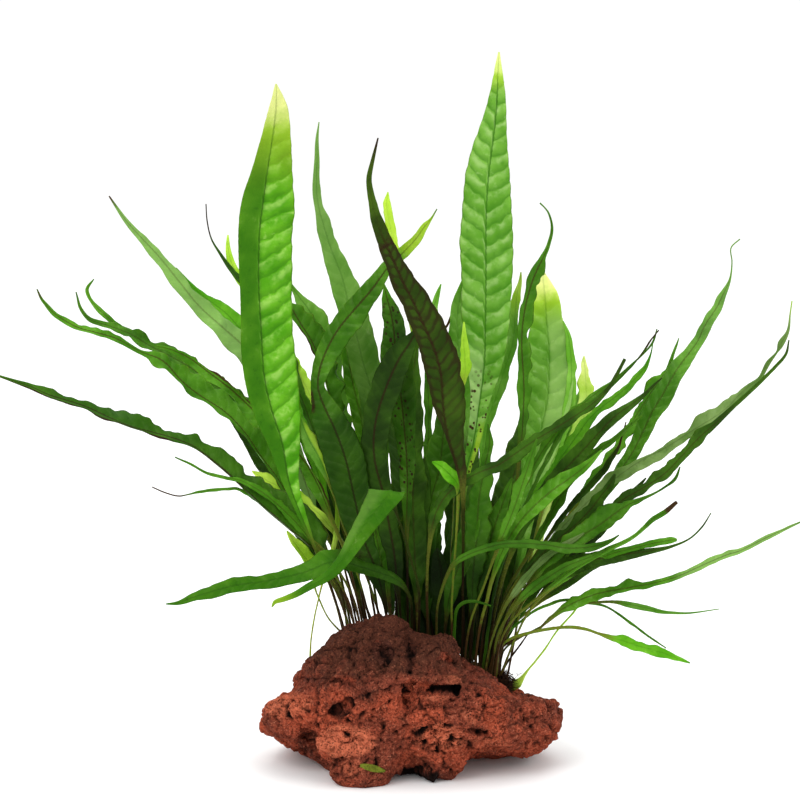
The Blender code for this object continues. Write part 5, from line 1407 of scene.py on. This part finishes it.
    def halves(self, run: float, half: float, offset: float) -> dict[int, tuple[float, float, float, float]]:
        """How the leaf's two halves have grown at a station.

        Args:
            run: How far along the leaf it is, in mm.
            half: Half the width of the blade.
            offset: How far the midrib lies off the middle, as a share of that.

        Returns:
            For each side, its share of half, its width in mm, and the nick and the wave of its margin.
        """
        growth = self.growth
        halves = {}
        for sign in (-1, 1):
            room = 1 + offset * -sign
            lane = (3.1 * sign, 1.7)
            coarse = self.stray(run / growth.wavelength, lane)
            middle = self.stray(run / growth.wavelength * 2.3, lane, -1.0)
            teeth = self.teeth * self.stray(run / self.teeth_length, lane, 2.0)
            nick = growth.nick * self.frond.ragged * (coarse + middle * 0.5) * min(room, 1)
            nick = nick * min(1.0, self.nick_half / half)**0.6 + teeth * min(1.0, self.teeth_half / half)
            wave = growth.wave * (self.stray(run / growth.wavelength, lane, -3.0) * 1.9 + middle * 0.7)
            halves[sign] = (room, half * room / MM, nick, wave)
        return halves

    def build(self, finish: Material) -> Piece:
        """Builds the leaf.

        Args:
            finish: Its material.

        Returns:
            The piece.
        """
        growth = self.growth
        spacing = growth.spacing * self.frond.pace
        even = [2 * index / growth.columns - 1 for index in range(growth.columns + 1)]
        bulge = 1 - self.loop_evenness
        loop = round_trip([
            self.loop_evenness * side + bulge * math.sin(side * math.pi / 2) for side in even])
        stations = self.line()
        frames = self.frames(stations)
        stalk_end = self.stalk_end(stations)
        earth = self.earth + self.earth_swing * noise.noise(self.seed)
        run = 0.0
        rings = []
        traits = []
        for index, ((place, seen_width, share), frame_here) in enumerate(zip(stations, frames)):
            across, facing, narrowing = frame_here
            if index:
                run += (place - stations[index - 1][0]).length / MM
            blade = smooth_step((seen_width - self.stalk_until) / (self.blade_from - self.stalk_until))
            stalk = smooth_step((stalk_end + 0.02 - share) / self.stalk_fade + 0.5)
            half = seen_width * MM / narrowing / 2 * (1 - self.stalk_slimness * stalk)
            full = self.stalk_thickness + (self.blade_thickness - self.stalk_thickness) * blade
            full = min(half * 2, full)
            thickness = min(full, self.tip_thickness + (full - self.tip_thickness) * (1 - share) * 2.5)
            bead = 1 + stalk * self.bead * self.stray(run / self.bead_length, (9.0, 0.0))
            sway = self.stray(run / self.sway_length, (5.0, 0.0)) * growth.nick * self.sway
            centred = smooth_step((share - self.frond.recentre) / self.recentre_fade + 1)
            offset = clamp(self.frond.midrib * (1 - centred) + sway, -self.sway_limit, self.sway_limit)
            offset *= blade * smooth_step(seen_width / self.full_offset_width)
            drift = self.stray(run / self.drift_length) * self.drift * blade
            # Painted shade: the tone is darkened deep in the heart of the clump.
            gloom = self.gloom(place) * self.heart_shade
            worn = earth * smooth_step((self.earth_until - share) / self.earth_fade)
            worn += self.patches * self.stray(run / self.patch_length, (2.0, 2.0))
            worn -= self.stains(share, 0)[5]
            halves = self.halves(run, half, offset)
            ring = []
            marks = []
            for side, face in loop:
                sign = 1 if side >= 0 else -1
                room, wide, nick, wave = halves[sign]
                away = abs(side)
                quilt = 0.0 if sign == self.frond.plain else self.frond.quilting
                bend = self.vein_bend[0] + self.vein_bend[1] * away
                phase = (run - away * wide * growth.slant * bend) / spacing + self.vein_stagger * sign
                swell = math.sin(math.pi * (phase % 1)**self.swell_skew)
                dome = growth.quilt * quilt * MM * (swell - 0.5) * away**0.5 * (1 - away**4)
                lift = half * 2 * growth.keel * away
                lift += wave * MM * away**2.0 * min(wide / self.full_wave_half, self.most_wave)
                lift += dome * min(wide / self.full_quilt_half, 1)
                lift = lift * blade + drift
                body = thickness / 2 * bead * math.sqrt(max(1 - side * side, 0.0))
                body += self.rib_height * math.exp(-(away * wide / self.rib_spread)**2) * blade
                margin = growth.scallop * quilt * (swell - self.swell_middle) + nick
                margin = bead + margin * away**2 * max(blade, self.least_blade)
                flat = half * (offset + side * room) * max(margin, self.least_margin)
                ring.append(place + across * flat + facing * (lift + face * body))
                yellow, brown, pale, spots, tone, green = self.stains(share, side)
                marks.append((
                    (side, phase, wide), (yellow, brown, pale), (stalk, spots, max(tone - gloom, 0.0)),
                    (min(quilt * growth.quilt * 1.1, 1.0), (1 - away) * wide, worn),
                    (self.frond.ribbing, green, 0.0)))
            rings.append(ring)
            traits.append(marks)
        tubes = Tubes(f"leaf_{self.frond.name}", ("lay", "state", "build", "form", "draw"))
        tubes.add(rings, traits)
        piece = tubes.finish(finish)
        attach(piece, "root")
        if self.solid:
            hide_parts(f"frond_{self.frond.name}")
        return piece


@dataclass(frozen=True)
class Hollow:
    """A pit, slit or ledge line in the front of the stone: seen points, and its width and depth in mm."""

    start: tuple[float, float]
    end: tuple[float, float]
    width: float
    depth: float


@dataclass(frozen=True)
class Form:
    """A large form of the stone's front: its seen middle and half sizes, in px.

    swell is how far it stands out, in mm, tint how much lighter (+) or darker (-) it is, mostly painted light
    on lit faces and painted shade in recesses and partly its own colour, and pitted how densely it is pitted.
    """

    middle: tuple[float, float]
    size: tuple[float, float]
    swell: float = 0.0
    tint: float = 0.0
    pitted: float = 0.0


@dataclass
class Stone:
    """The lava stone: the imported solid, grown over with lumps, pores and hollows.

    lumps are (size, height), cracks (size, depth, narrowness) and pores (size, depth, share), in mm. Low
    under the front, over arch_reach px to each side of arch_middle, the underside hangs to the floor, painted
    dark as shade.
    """

    sight: Sight
    stem: Rhizome
    node: str = "lava_rock"
    voxel: float = 0.56 * MM
    lumps: tuple = ((13.0, 1.3), (6.0, 0.9), (3.0, 0.6), (1.6, 0.35))
    cracks: tuple = ((9.0, 1.0, 0.12), (4.5, 0.8, 0.16))
    pores: tuple = ((3.6, 1.3, 0.30), (2.2, 1.0, 0.45), (1.5, 0.8, 0.5))
    foot: float = 4 * MM
    bed_near: float = 0.6 * MM
    bed_clear: float = 3 * MM
    top_shade_from: float = 24 * MM
    top_shade_over: float = 28 * MM
    front: float = 0.35
    warps: tuple = ((3.0, 1.4), (1.4, 1.0))
    warp_size: float = 5.0
    hollows: tuple[Hollow, ...] = (
        Hollow((427, 690), (459, 687), 1.1, 3.2), Hollow((406, 685), (406, 708), 0.9, 2.2),
        Hollow((409, 640), (411, 674), 0.9, 2.0), Hollow((380, 647), (386, 656), 1.2, 1.6),
        Hollow((386, 655), (383, 664), 1.0, 1.5), Hollow((331, 714), (343, 706), 1.4, 1.8),
        Hollow((298, 678), (326, 679), 0.7, 1.4), Hollow((326, 680), (352, 686), 0.6, 1.0),
        Hollow((276, 716), (277, 718), 0.9, 1.4), Hollow((312, 723), (313, 725), 0.8, 1.2),
        Hollow((303, 737), (318, 750), 1.4, 1.5), Hollow((334, 734), (351, 730), 0.6, 1.3),
        Hollow((366, 692), (368, 698), 1.1, 1.4), Hollow((467, 729), (486, 733), 1.0, 1.6),
        Hollow((466, 744), (472, 747), 1.1, 1.6), Hollow((400, 774), (434, 776), 1.6, 4.0),
        Hollow((445, 658), (454, 663), 1.0, 1.5), Hollow((425, 705), (455, 709), 0.6, 1.0),
        Hollow((500, 729), (541, 716), 0.5, 0.8),
    )
    forms: tuple[Form, ...] = (
        Form((347, 741), (30, 17), 1.5, 0.75), Form((353, 768), (13, 9), 0.3, 0.5),
        Form((285, 704), (26, 15), 0.2, 0.65, 0.5), Form((440, 738), (24, 14), 0.3, 0.55, 1.0),
        Form((440, 679), (26, 5), 0.4, 0.3), Form((436, 697), (22, 4), 0.5, 0.35),
        Form((472, 706), (15, 18), 0.4, 0.3, 0.7), Form((488, 742), (27, 6), 0.4, 0.4),
        Form((493, 700), (9, 26), -0.6, -0.4), Form((476, 731), (11, 4), -0.4, -0.6),
        Form((382, 652), (11, 14), -0.5, -0.7), Form((308, 744), (12, 11), -1.4, -0.7),
        Form((337, 709), (11, 8), -0.8, -0.7), Form((368, 696), (12, 9), -0.3, -0.4),
        Form((398, 716), (17, 15), 0.0, -0.35), Form((438, 707), (17, 4), -0.4, -0.5),
        Form((548, 712), (20, 20), 0.0, -0.3), Form((312, 679), (17, 3), -0.3, -0.5),
        Form((410, 655), (6, 20), -0.4, -0.6), Form((430, 650), (12, 12), 0.5, 0.0),
    )
    arch_middle: float = 417.0
    arch_reach: float = 24.0
    arch_fall: float = 0.9
    arch_high: float = 7.5 * MM
    seed: int = 5

    def carve(self, across: float, down: float) -> float:
        """How deep the seen hollows go at a pixel.

        Args:
            across: Pixels from the left of the photograph.
            down: Pixels from its top.

        Returns:
            The depth, in mm.
        """
        deepest = 0.0
        for cut in self.hollows:
            share, off = beside((across, down), cut.start, cut.end)
            wall = off * self.sight.pixel / MM / (cut.width * math.sqrt(max(4 * share * (1 - share), 0.15)))
            deepest = max(deepest, cut.depth * smooth_step(1.25 - wall))
        return deepest

    def look_at(self, place: Place) -> tuple[float, float, float, float]:
        """What the photograph shows at a place of the stone's front.

        Args:
            place: The place.

        Returns:
            How deep the hollows go and how far the forms stand out there, in mm, and their tint and pitting.
        """
        across, down = self.sight.pixel_of(place)
        grain = Vector((across / self.warp_size, down / self.warp_size, 0.0))
        (wide, wide_fine), (high, high_fine) = self.warps
        across += wide * noise.noise(grain) + wide_fine * noise.noise(grain * 2.3)
        down += high * noise.noise(grain + UP * 5.0) + high_fine * noise.noise(grain * 2.3 + UP)
        swell = tint = pitted = 0.0
        for form in self.forms:
            far = math.hypot((across - form.middle[0]) / form.size[0], (down - form.middle[1]) / form.size[1])
            grip = smooth_step((1.2 - far) / 0.4)
            swell += form.swell * grip
            tint += form.tint * grip
            pitted += form.pitted * grip
        return self.carve(across, down), swell, tint, pitted

    def build(self, finish: Material) -> Piece:
        """Builds the stone out of a copy of its solid.

        Args:
            finish: Its material.

        Returns:
            The piece.
        """
        noise.seed_set(self.seed)
        shape = self.skin(finish)
        relief = shape.verts.layers.float_vector.new("relief")
        seen = shape.verts.layers.float_vector.new("seen")
        bed = self.bed()
        moves = []
        for corner in shape.verts:
            place = corner.co
            near = bed.find_nearest(place)[3]
            free = 0.12 + 0.88 * smooth_step((near - self.bed_near) / self.bed_clear)
            stand = smooth_step(place.z / self.foot)
            swell = sum(noise.noise(place / (size * MM) + UP * size) * high for size, high in self.lumps)
            cut = form = tint = pitted = 0.0
            if corner.normal.y < self.front:
                facing = smooth_step((self.front - corner.normal.y) / 0.4)
                cut, form, tint, pitted = (value * facing for value in self.look_at(place))
            aside = abs(self.sight.pixel_of(place)[0] - self.arch_middle)
            # Painted shade: the underside low under the front hangs to the floor and is painted dark.
            arch = smooth_step((self.arch_reach - aside) / 8) * smooth_step((-corner.normal.z - 0.3) / 0.3)
            arch *= smooth_step((self.arch_high - place.z) / (3 * MM))
            sunk = self.eat(place, 0.5 + noise.noise(place / (12 * MM)) + pitted)
            shift = (swell + form - sunk) * free * stand
            inward = Vector((0.0, cut * free * stand, -self.arch_fall * arch * place.z / MM))
            # The seen tint paints light and shade on the stone's front; the hanging underside is taken off it
            # as painted shade.
            corner[seen] = (tint - arch, pitted, 0.0)
            # Painted shade: the top darkens under the leaves, and the pores, cracks and carved hollows darken
            # with their depth.
            top = smooth_step((place.z - self.top_shade_from) / self.top_shade_over)
            corner[relief] = (
                min(sunk * 0.42 * stand + cut * 0.3 + arch, 1.0), smooth_step(swell * 0.8 + 0.3 - sunk),
                top * smooth_step(corner.normal.z + 0.6))
            moves.append((corner, (corner.normal * shift + inward) * MM))
        for corner, move in moves:
            corner.co += move
            corner.co.z = max(corner.co.z, 0.0)
        for face in shape.faces:
            face.smooth = True
        piece = new_piece("lava_stone", shape, finish)
        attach(piece, "root")
        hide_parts(self.node)
        return piece

    def eat(self, place: Place, crowd: float) -> float:
        """How deep cracks and pores go at a place.

        Args:
            place: The place.
            crowd: How densely it is pitted there.

        Returns:
            The depth, in mm.
        """
        sunk = 0.0
        bent = place + noise.noise_vector(place / (2.6 * MM)) * (1.3 * MM)
        for size, deep, narrow in self.cracks:
            sunk += deep * smooth_step(1 - abs(noise.noise(bent / (size * MM) + UP * size)) / narrow)
        bent = place + noise.noise_vector(place / (1.4 * MM)) * (0.4 * MM)
        for index, (size, deep, share) in enumerate(self.pores):
            spots, centres = noise.voronoi(bent / (size * MM) + Vector((index * 7.7, 0.0, 0.0)))
            chance = noise.cell(centres[0] * 9.3)
            if chance < share * (0.5 + crowd):
                sunk += deep * smooth_step((0.28 + 0.3 * chance / share - spots[0]) / 0.28)
        return sunk

    def skin(self, finish: Material) -> bmesh.types.BMesh:
        """The solid's surface in fine even faces, its edges softened.

        Args:
            finish: The stone's material.

        Returns:
            The surface.
        """
        shape = bmesh.new()
        shape.from_mesh(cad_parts[self.node].data)
        bmesh.ops.remove_doubles(shape, verts=shape.verts, dist=0.001 * MM)
        block = new_piece("lava_stone", shape, finish)
        remesh = block.modifiers.new("remesh", "REMESH")
        remesh.mode = "VOXEL"
        remesh.voxel_size = self.voxel
        shape = bmesh.new()
        shape.from_object(block, bpy.context.evaluated_depsgraph_get())
        bpy.data.objects.remove(block)
        bmesh.ops.smooth_vert(
            shape, verts=shape.verts, factor=0.5, use_axis_x=True, use_axis_y=True, use_axis_z=True)
        shape.normal_update()
        return shape

    def bed(self) -> BVHTree:
        """The creeping stem's solid, to keep the stone's skin off it.

        Returns:
            Its surface.
        """
        shape = bmesh.new()
        shape.from_mesh(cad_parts["rhizome"].data)
        tree = BVHTree.FromBMesh(shape)
        shape.free()
        return tree


@dataclass
class Roots:
    """Wiry roots that leave the creeping stem and cling to the stone, and fine hairs among them.

    The spans are where they leave it, across the photograph. The dark tuft stands at (across px, down px, mm
    behind the stem's middle) and spreads by tuft_spread, in mm.
    """

    sight: Sight
    stem: Rhizome
    stone: Piece
    count: int = 130
    spans: tuple = ((312, 506), (484, 508), (330, 420))
    steps: tuple[int, int] = (6, 22)
    radius: float = 0.16 * MM
    step: float = 1.2 * MM
    lowest: float = 5 * MM
    front_share: float = 0.7
    hairs: int = 170
    hair_spans: tuple = ((494, 510), (310, 500))
    hair_steps: tuple[int, int] = (3, 6)
    hair_radius: float = 0.07 * MM
    hair_step: float = 0.9 * MM
    hair_clear: float = 0.2 * MM
    tuft: int = 460
    tuft_at: tuple[float, float, float] = (502, 682, -3.0)
    tuft_spread: tuple[float, float, float] = (3.4, 2.6, 3.0)
    tuft_steps: tuple[int, int] = (4, 8)
    tuft_radius: tuple[float, float] = (0.13, 0.26)
    tuft_step: float = 0.6 * MM
    seed: int = 11

    def __post_init__(self) -> None:
        """Takes up the stone's surface, the source of chance and the mesh that all are added to."""
        self.skin = BVHTree.FromObject(self.stone, bpy.context.evaluated_depsgraph_get())
        self.chance = random.Random(self.seed)
        self.tubes = Tubes("stem_roots")

    def build(self, finish: Material) -> Piece:
        """Builds every root and hair as one mesh.

        Args:
            finish: Their material.

        Returns:
            The piece.
        """
        for grow, count in ((self.creep, self.count), (self.sprout, self.hairs), (self.tangle, self.tuft)):
            for _ in range(count):
                grow()
        piece = self.tubes.finish(finish)
        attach(piece, "root")
        return piece

    def leave(self, spans: tuple) -> list[float]:
        """The stem where a root leaves it, by chance in one of several spans."""
        across = self.chance.choice([self.chance.uniform(*span) for span in spans])
        return read_line(self.stem.route, across)

    def creep(self) -> None:
        """Adds one root that follows the stone's skin."""
        chance = self.chance
        across, down, half_depth, half_height = self.leave(self.spans)
        front = -1 if chance.random() < self.front_share else 1
        steps = chance.randint(*self.steps)
        place = self.stem.middle(across, down)
        place += Vector((0.0, front * half_depth * 0.8 * MM, -half_height * 0.2 * MM))
        heading = Vector((chance.uniform(-0.9, 0.9), front * 0.6, -0.7)).normalized()
        line = [place]
        for _ in range(steps):
            bend = Vector((chance.gauss(0, 0.35), chance.gauss(0, 0.2), chance.gauss(-0.08, 0.2)))
            heading = (heading + bend).normalized()
            found, normal, _, _ = self.skin.find_nearest(place + heading * self.step)
            if found is None or found.z < self.lowest:
                break
            onward = found + normal * self.radius * 0.6
            if (onward - place).length < self.step * 0.25:
                break
            heading = (heading * 0.4 + (onward - place).normalized() * 0.6).normalized()
            place = onward
            line.append(place)
        if len(line) > 3:
            self.tube(line, self.radius * chance.uniform(0.7, 1.5), 5)

    def sprout(self) -> None:
        """Adds one fine hair that stands off the stem and bends down."""
        chance = self.chance
        across, down, half_depth, half_height = self.leave(self.hair_spans)
        turn = chance.uniform(-2.6, 0.5)
        out = Vector((0.0, -math.cos(turn) * half_depth, math.sin(turn) * half_height)) * MM
        place = self.stem.middle(across, down) + out * 0.9
        heading = out.normalized() + Vector((chance.gauss(0, 0.5), 0.0, chance.gauss(0, 0.3)))
        heading.normalize()
        line = [place]
        for _ in range(chance.randint(*self.hair_steps)):
            heading = (heading + Vector((chance.gauss(0, 0.25), 0.0, -0.28))).normalized()
            place = place + heading * self.hair_step
            line.append(place)
            if self.skin.find_nearest(place)[3] < self.hair_clear:
                break
        if len(line) > 2:
            self.tube(line, self.hair_radius, 3)

    def tangle(self) -> None:
        """Adds one curled rootlet of the dark tuft at the stem's right-hand end."""
        chance = self.chance
        across, down, depth = self.tuft_at
        place = self.sight.seen(across, down, self.stem.depth + depth * MM)
        place += Vector([chance.gauss(0, spread / 2) * MM for spread in self.tuft_spread])
        heading = Vector((chance.gauss(0, 1), chance.gauss(-0.3, 1), chance.gauss(0, 1))).normalized()
        line = [place]
        for _ in range(chance.randint(*self.tuft_steps)):
            heading = (heading + Vector([chance.gauss(0, 0.45) for _ in range(3)])).normalized()
            place = place + heading * self.tuft_step
            line.append(place)
        self.tube(line, chance.uniform(*self.tuft_radius) * MM, 4)

    def tube(self, line: list[Place], radius: float, sides: int) -> None:
        """Adds a thin tube along a line, tapering to its end.

        Args:
            line: The places that it follows.
            radius: Its radius at the start.
            sides: How many sides it has.
        """
        rings = []
        across = None
        for index, place in enumerate(line):
            along = along_line(line, index)
            across = along.orthogonal() if across is None else across - along * across.dot(along)
            across.normalize()
            other = along.cross(across)
            slim = radius * (1 - 0.7 * index / (len(line) - 1))
            turns = [math.tau * side / sides for side in range(sides)]
            ways = [across * math.cos(turn) + other * math.sin(turn) for turn in turns]
            rings.append([place + way * slim for way in ways])
        self.tubes.add(rings)


@dataclass
class Scrap:
    """The scrap of dead leaf that lies on the front foot of the stone."""

    sight: Sight
    start: tuple[float, float] = (360, 765)
    end: tuple[float, float] = (385, 771)
    width: float = 2.6 * MM
    thickness: float = 0.35 * MM
    clearance: float = 0.5 * MM
    curl: float = 0.5 * MM
    ripple: float = 0.25 * MM
    stations: int = 16
    columns: int = 8
    smoothings: int = 6

    def build(self, stone: Piece, finish: Material) -> Piece:
        """Lays the scrap on the stone.

        Args:
            stone: The finished stone.
            finish: Its material.

        Returns:
            The piece.
        """
        skin = BVHTree.FromObject(stone, bpy.context.evaluated_depsgraph_get())
        centre = sum((Vector(corner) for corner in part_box("leaf_scrap")), Vector()) / 2
        line = []
        for step in range(self.stations):
            share = step / (self.stations - 1)
            across = self.start[0] + (self.end[0] - self.start[0]) * share
            down = self.start[1] + (self.end[1] - self.start[1]) * share
            hit, normal, _, _ = skin.ray_cast(self.sight.eye, self.sight.ray(across, down))
            line.append(hit - self.sight.ahead * self.clearance if hit else centre)
        for _ in range(self.smoothings):
            line = [line[0], *((a + b * 2 + c) / 4 for a, b, c in zip(line, line[1:], line[2:])), line[-1]]
        loop = round_trip([2 * index / self.columns - 1 for index in range(self.columns + 1)])
        rings = []
        traits = []
        for index, place in enumerate(line):
            share = index / (self.stations - 1)
            along = along_line(line, index)
            across = along.cross(self.sight.eye - place).normalized()
            facing = across.cross(along)
            half = self.width / 2 * max(math.sin(math.pi * (0.12 + 0.8 * share)), 0.1)
            ring = []
            marks = []
            for side, face in loop:
                curl = self.curl * side * side + self.ripple * math.sin(9 * share + 2 * side)
                body = self.thickness / 2 * math.sqrt(max(1 - side * side, 0.0))
                ring.append(place + across * (half * side) + facing * (curl + face * body))
                marks.append(((side, share * 5 - abs(side), half / MM), (0.2, 0.35, 0.1), (1.0, 0.0, 0.6)))
            rings.append(ring)
            traits.append(marks)
        tubes = Tubes("scrap_of_leaf", ("lay", "state", "build"))
        tubes.add(rings, traits)
        piece = tubes.finish(finish)
        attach(piece, "root")
        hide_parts("leaf_scrap")
        return piece


@dataclass
class Studio:
    """The floor and the soft light: lamps are (name, place, size, power), aimed at one place."""

    floor: float = 6.0
    lamps: tuple = (
        ("key", (-0.9, -1.3, 1.5), 1.0, 16.0), ("fill", (1.2, -1.2, 0.9), 1.2, 5.0),
        ("top", (0.1, 0.4, 1.8), 1.4, 12.0),
    )
    aimed_at: tuple[float, float, float] = (0.0, 0.0, 0.12)
    daylight: float = 1.03

    def build(self, finish: Material) -> None:
        """Lays the floor and hangs the lamps.

        Args:
            finish: The floor's material.
        """
        shape = bmesh.new()
        bmesh.ops.create_grid(shape, x_segments=2, y_segments=2, size=self.floor / 2)
        new_piece("floor", shape, finish)
        for name, place, size, power in self.lamps:
            lamp = bpy.data.lights.new(name, "AREA")
            lamp.size = size
            lamp.energy = power
            holder = bpy.data.objects.new(name, lamp)
            holder.location = place
            aim = Vector(self.aimed_at) - Vector(place)
            holder.rotation_euler = aim.to_track_quat("-Z", "Y").to_euler()
            bpy.context.scene.collection.objects.link(holder)
        world = bpy.data.worlds.new("studio")
        world.use_nodes = True
        sky = world.node_tree.nodes["Background"]
        sky.inputs["Color"].default_value = (1.0, 1.0, 1.0, 1.0)
        sky.inputs["Strength"].default_value = self.daylight
        bpy.context.scene.world = world
        bpy.context.scene.view_settings.view_transform = "Standard"


TONES = (0.25, 0.75)
TONE_SEED = 7
RIGHT_DARKER = 0.08


def main() -> None:
    """Builds the sub-assemblies in order."""
    logging.basicConfig(level=logging.INFO, format="%(message)s")
    sight = Sight()
    sight.make_camera()
    Studio().build(FloorFinish().make())
    bark = BarkFinish("stem_bark", ink(92, 62, 34), ink(34, 22, 14), ink(80, 86, 34)).make()
    root_skin = BarkFinish("root_skin", ink(70, 44, 26), ink(30, 19, 13), ink(60, 56, 26), 0.1).make()
    stem = Rhizome(sight)
    piece = stem.build(bark)
    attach(piece, "root")
    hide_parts("rhizome")
    report(piece)
    stone = Stone(sight, stem).build(StoneFinish().make())
    report(stone)
    report(Roots(sight, stem, stone).build(root_skin))
    finishes = {look: look.value.make() for look in Look}
    chance = random.Random(TONE_SEED)
    for frond in (*TOP_FRONDS, *CENTRE_FRONDS, *LEFT_FRONDS, *RIGHT_FRONDS, *INNER_FRONDS):
        tone = chance.uniform(*TONES) - (RIGHT_DARKER if frond in RIGHT_FRONDS else 0.0)
        leaf = Leaf(frond, sight, stem, tone, solid=frond not in INNER_FRONDS)
        report(leaf.build(finishes[frond.look]))
    report(Scrap(sight).build(stone, finishes[Look.OLIVE]))


if __name__ == "__main__":
    main()
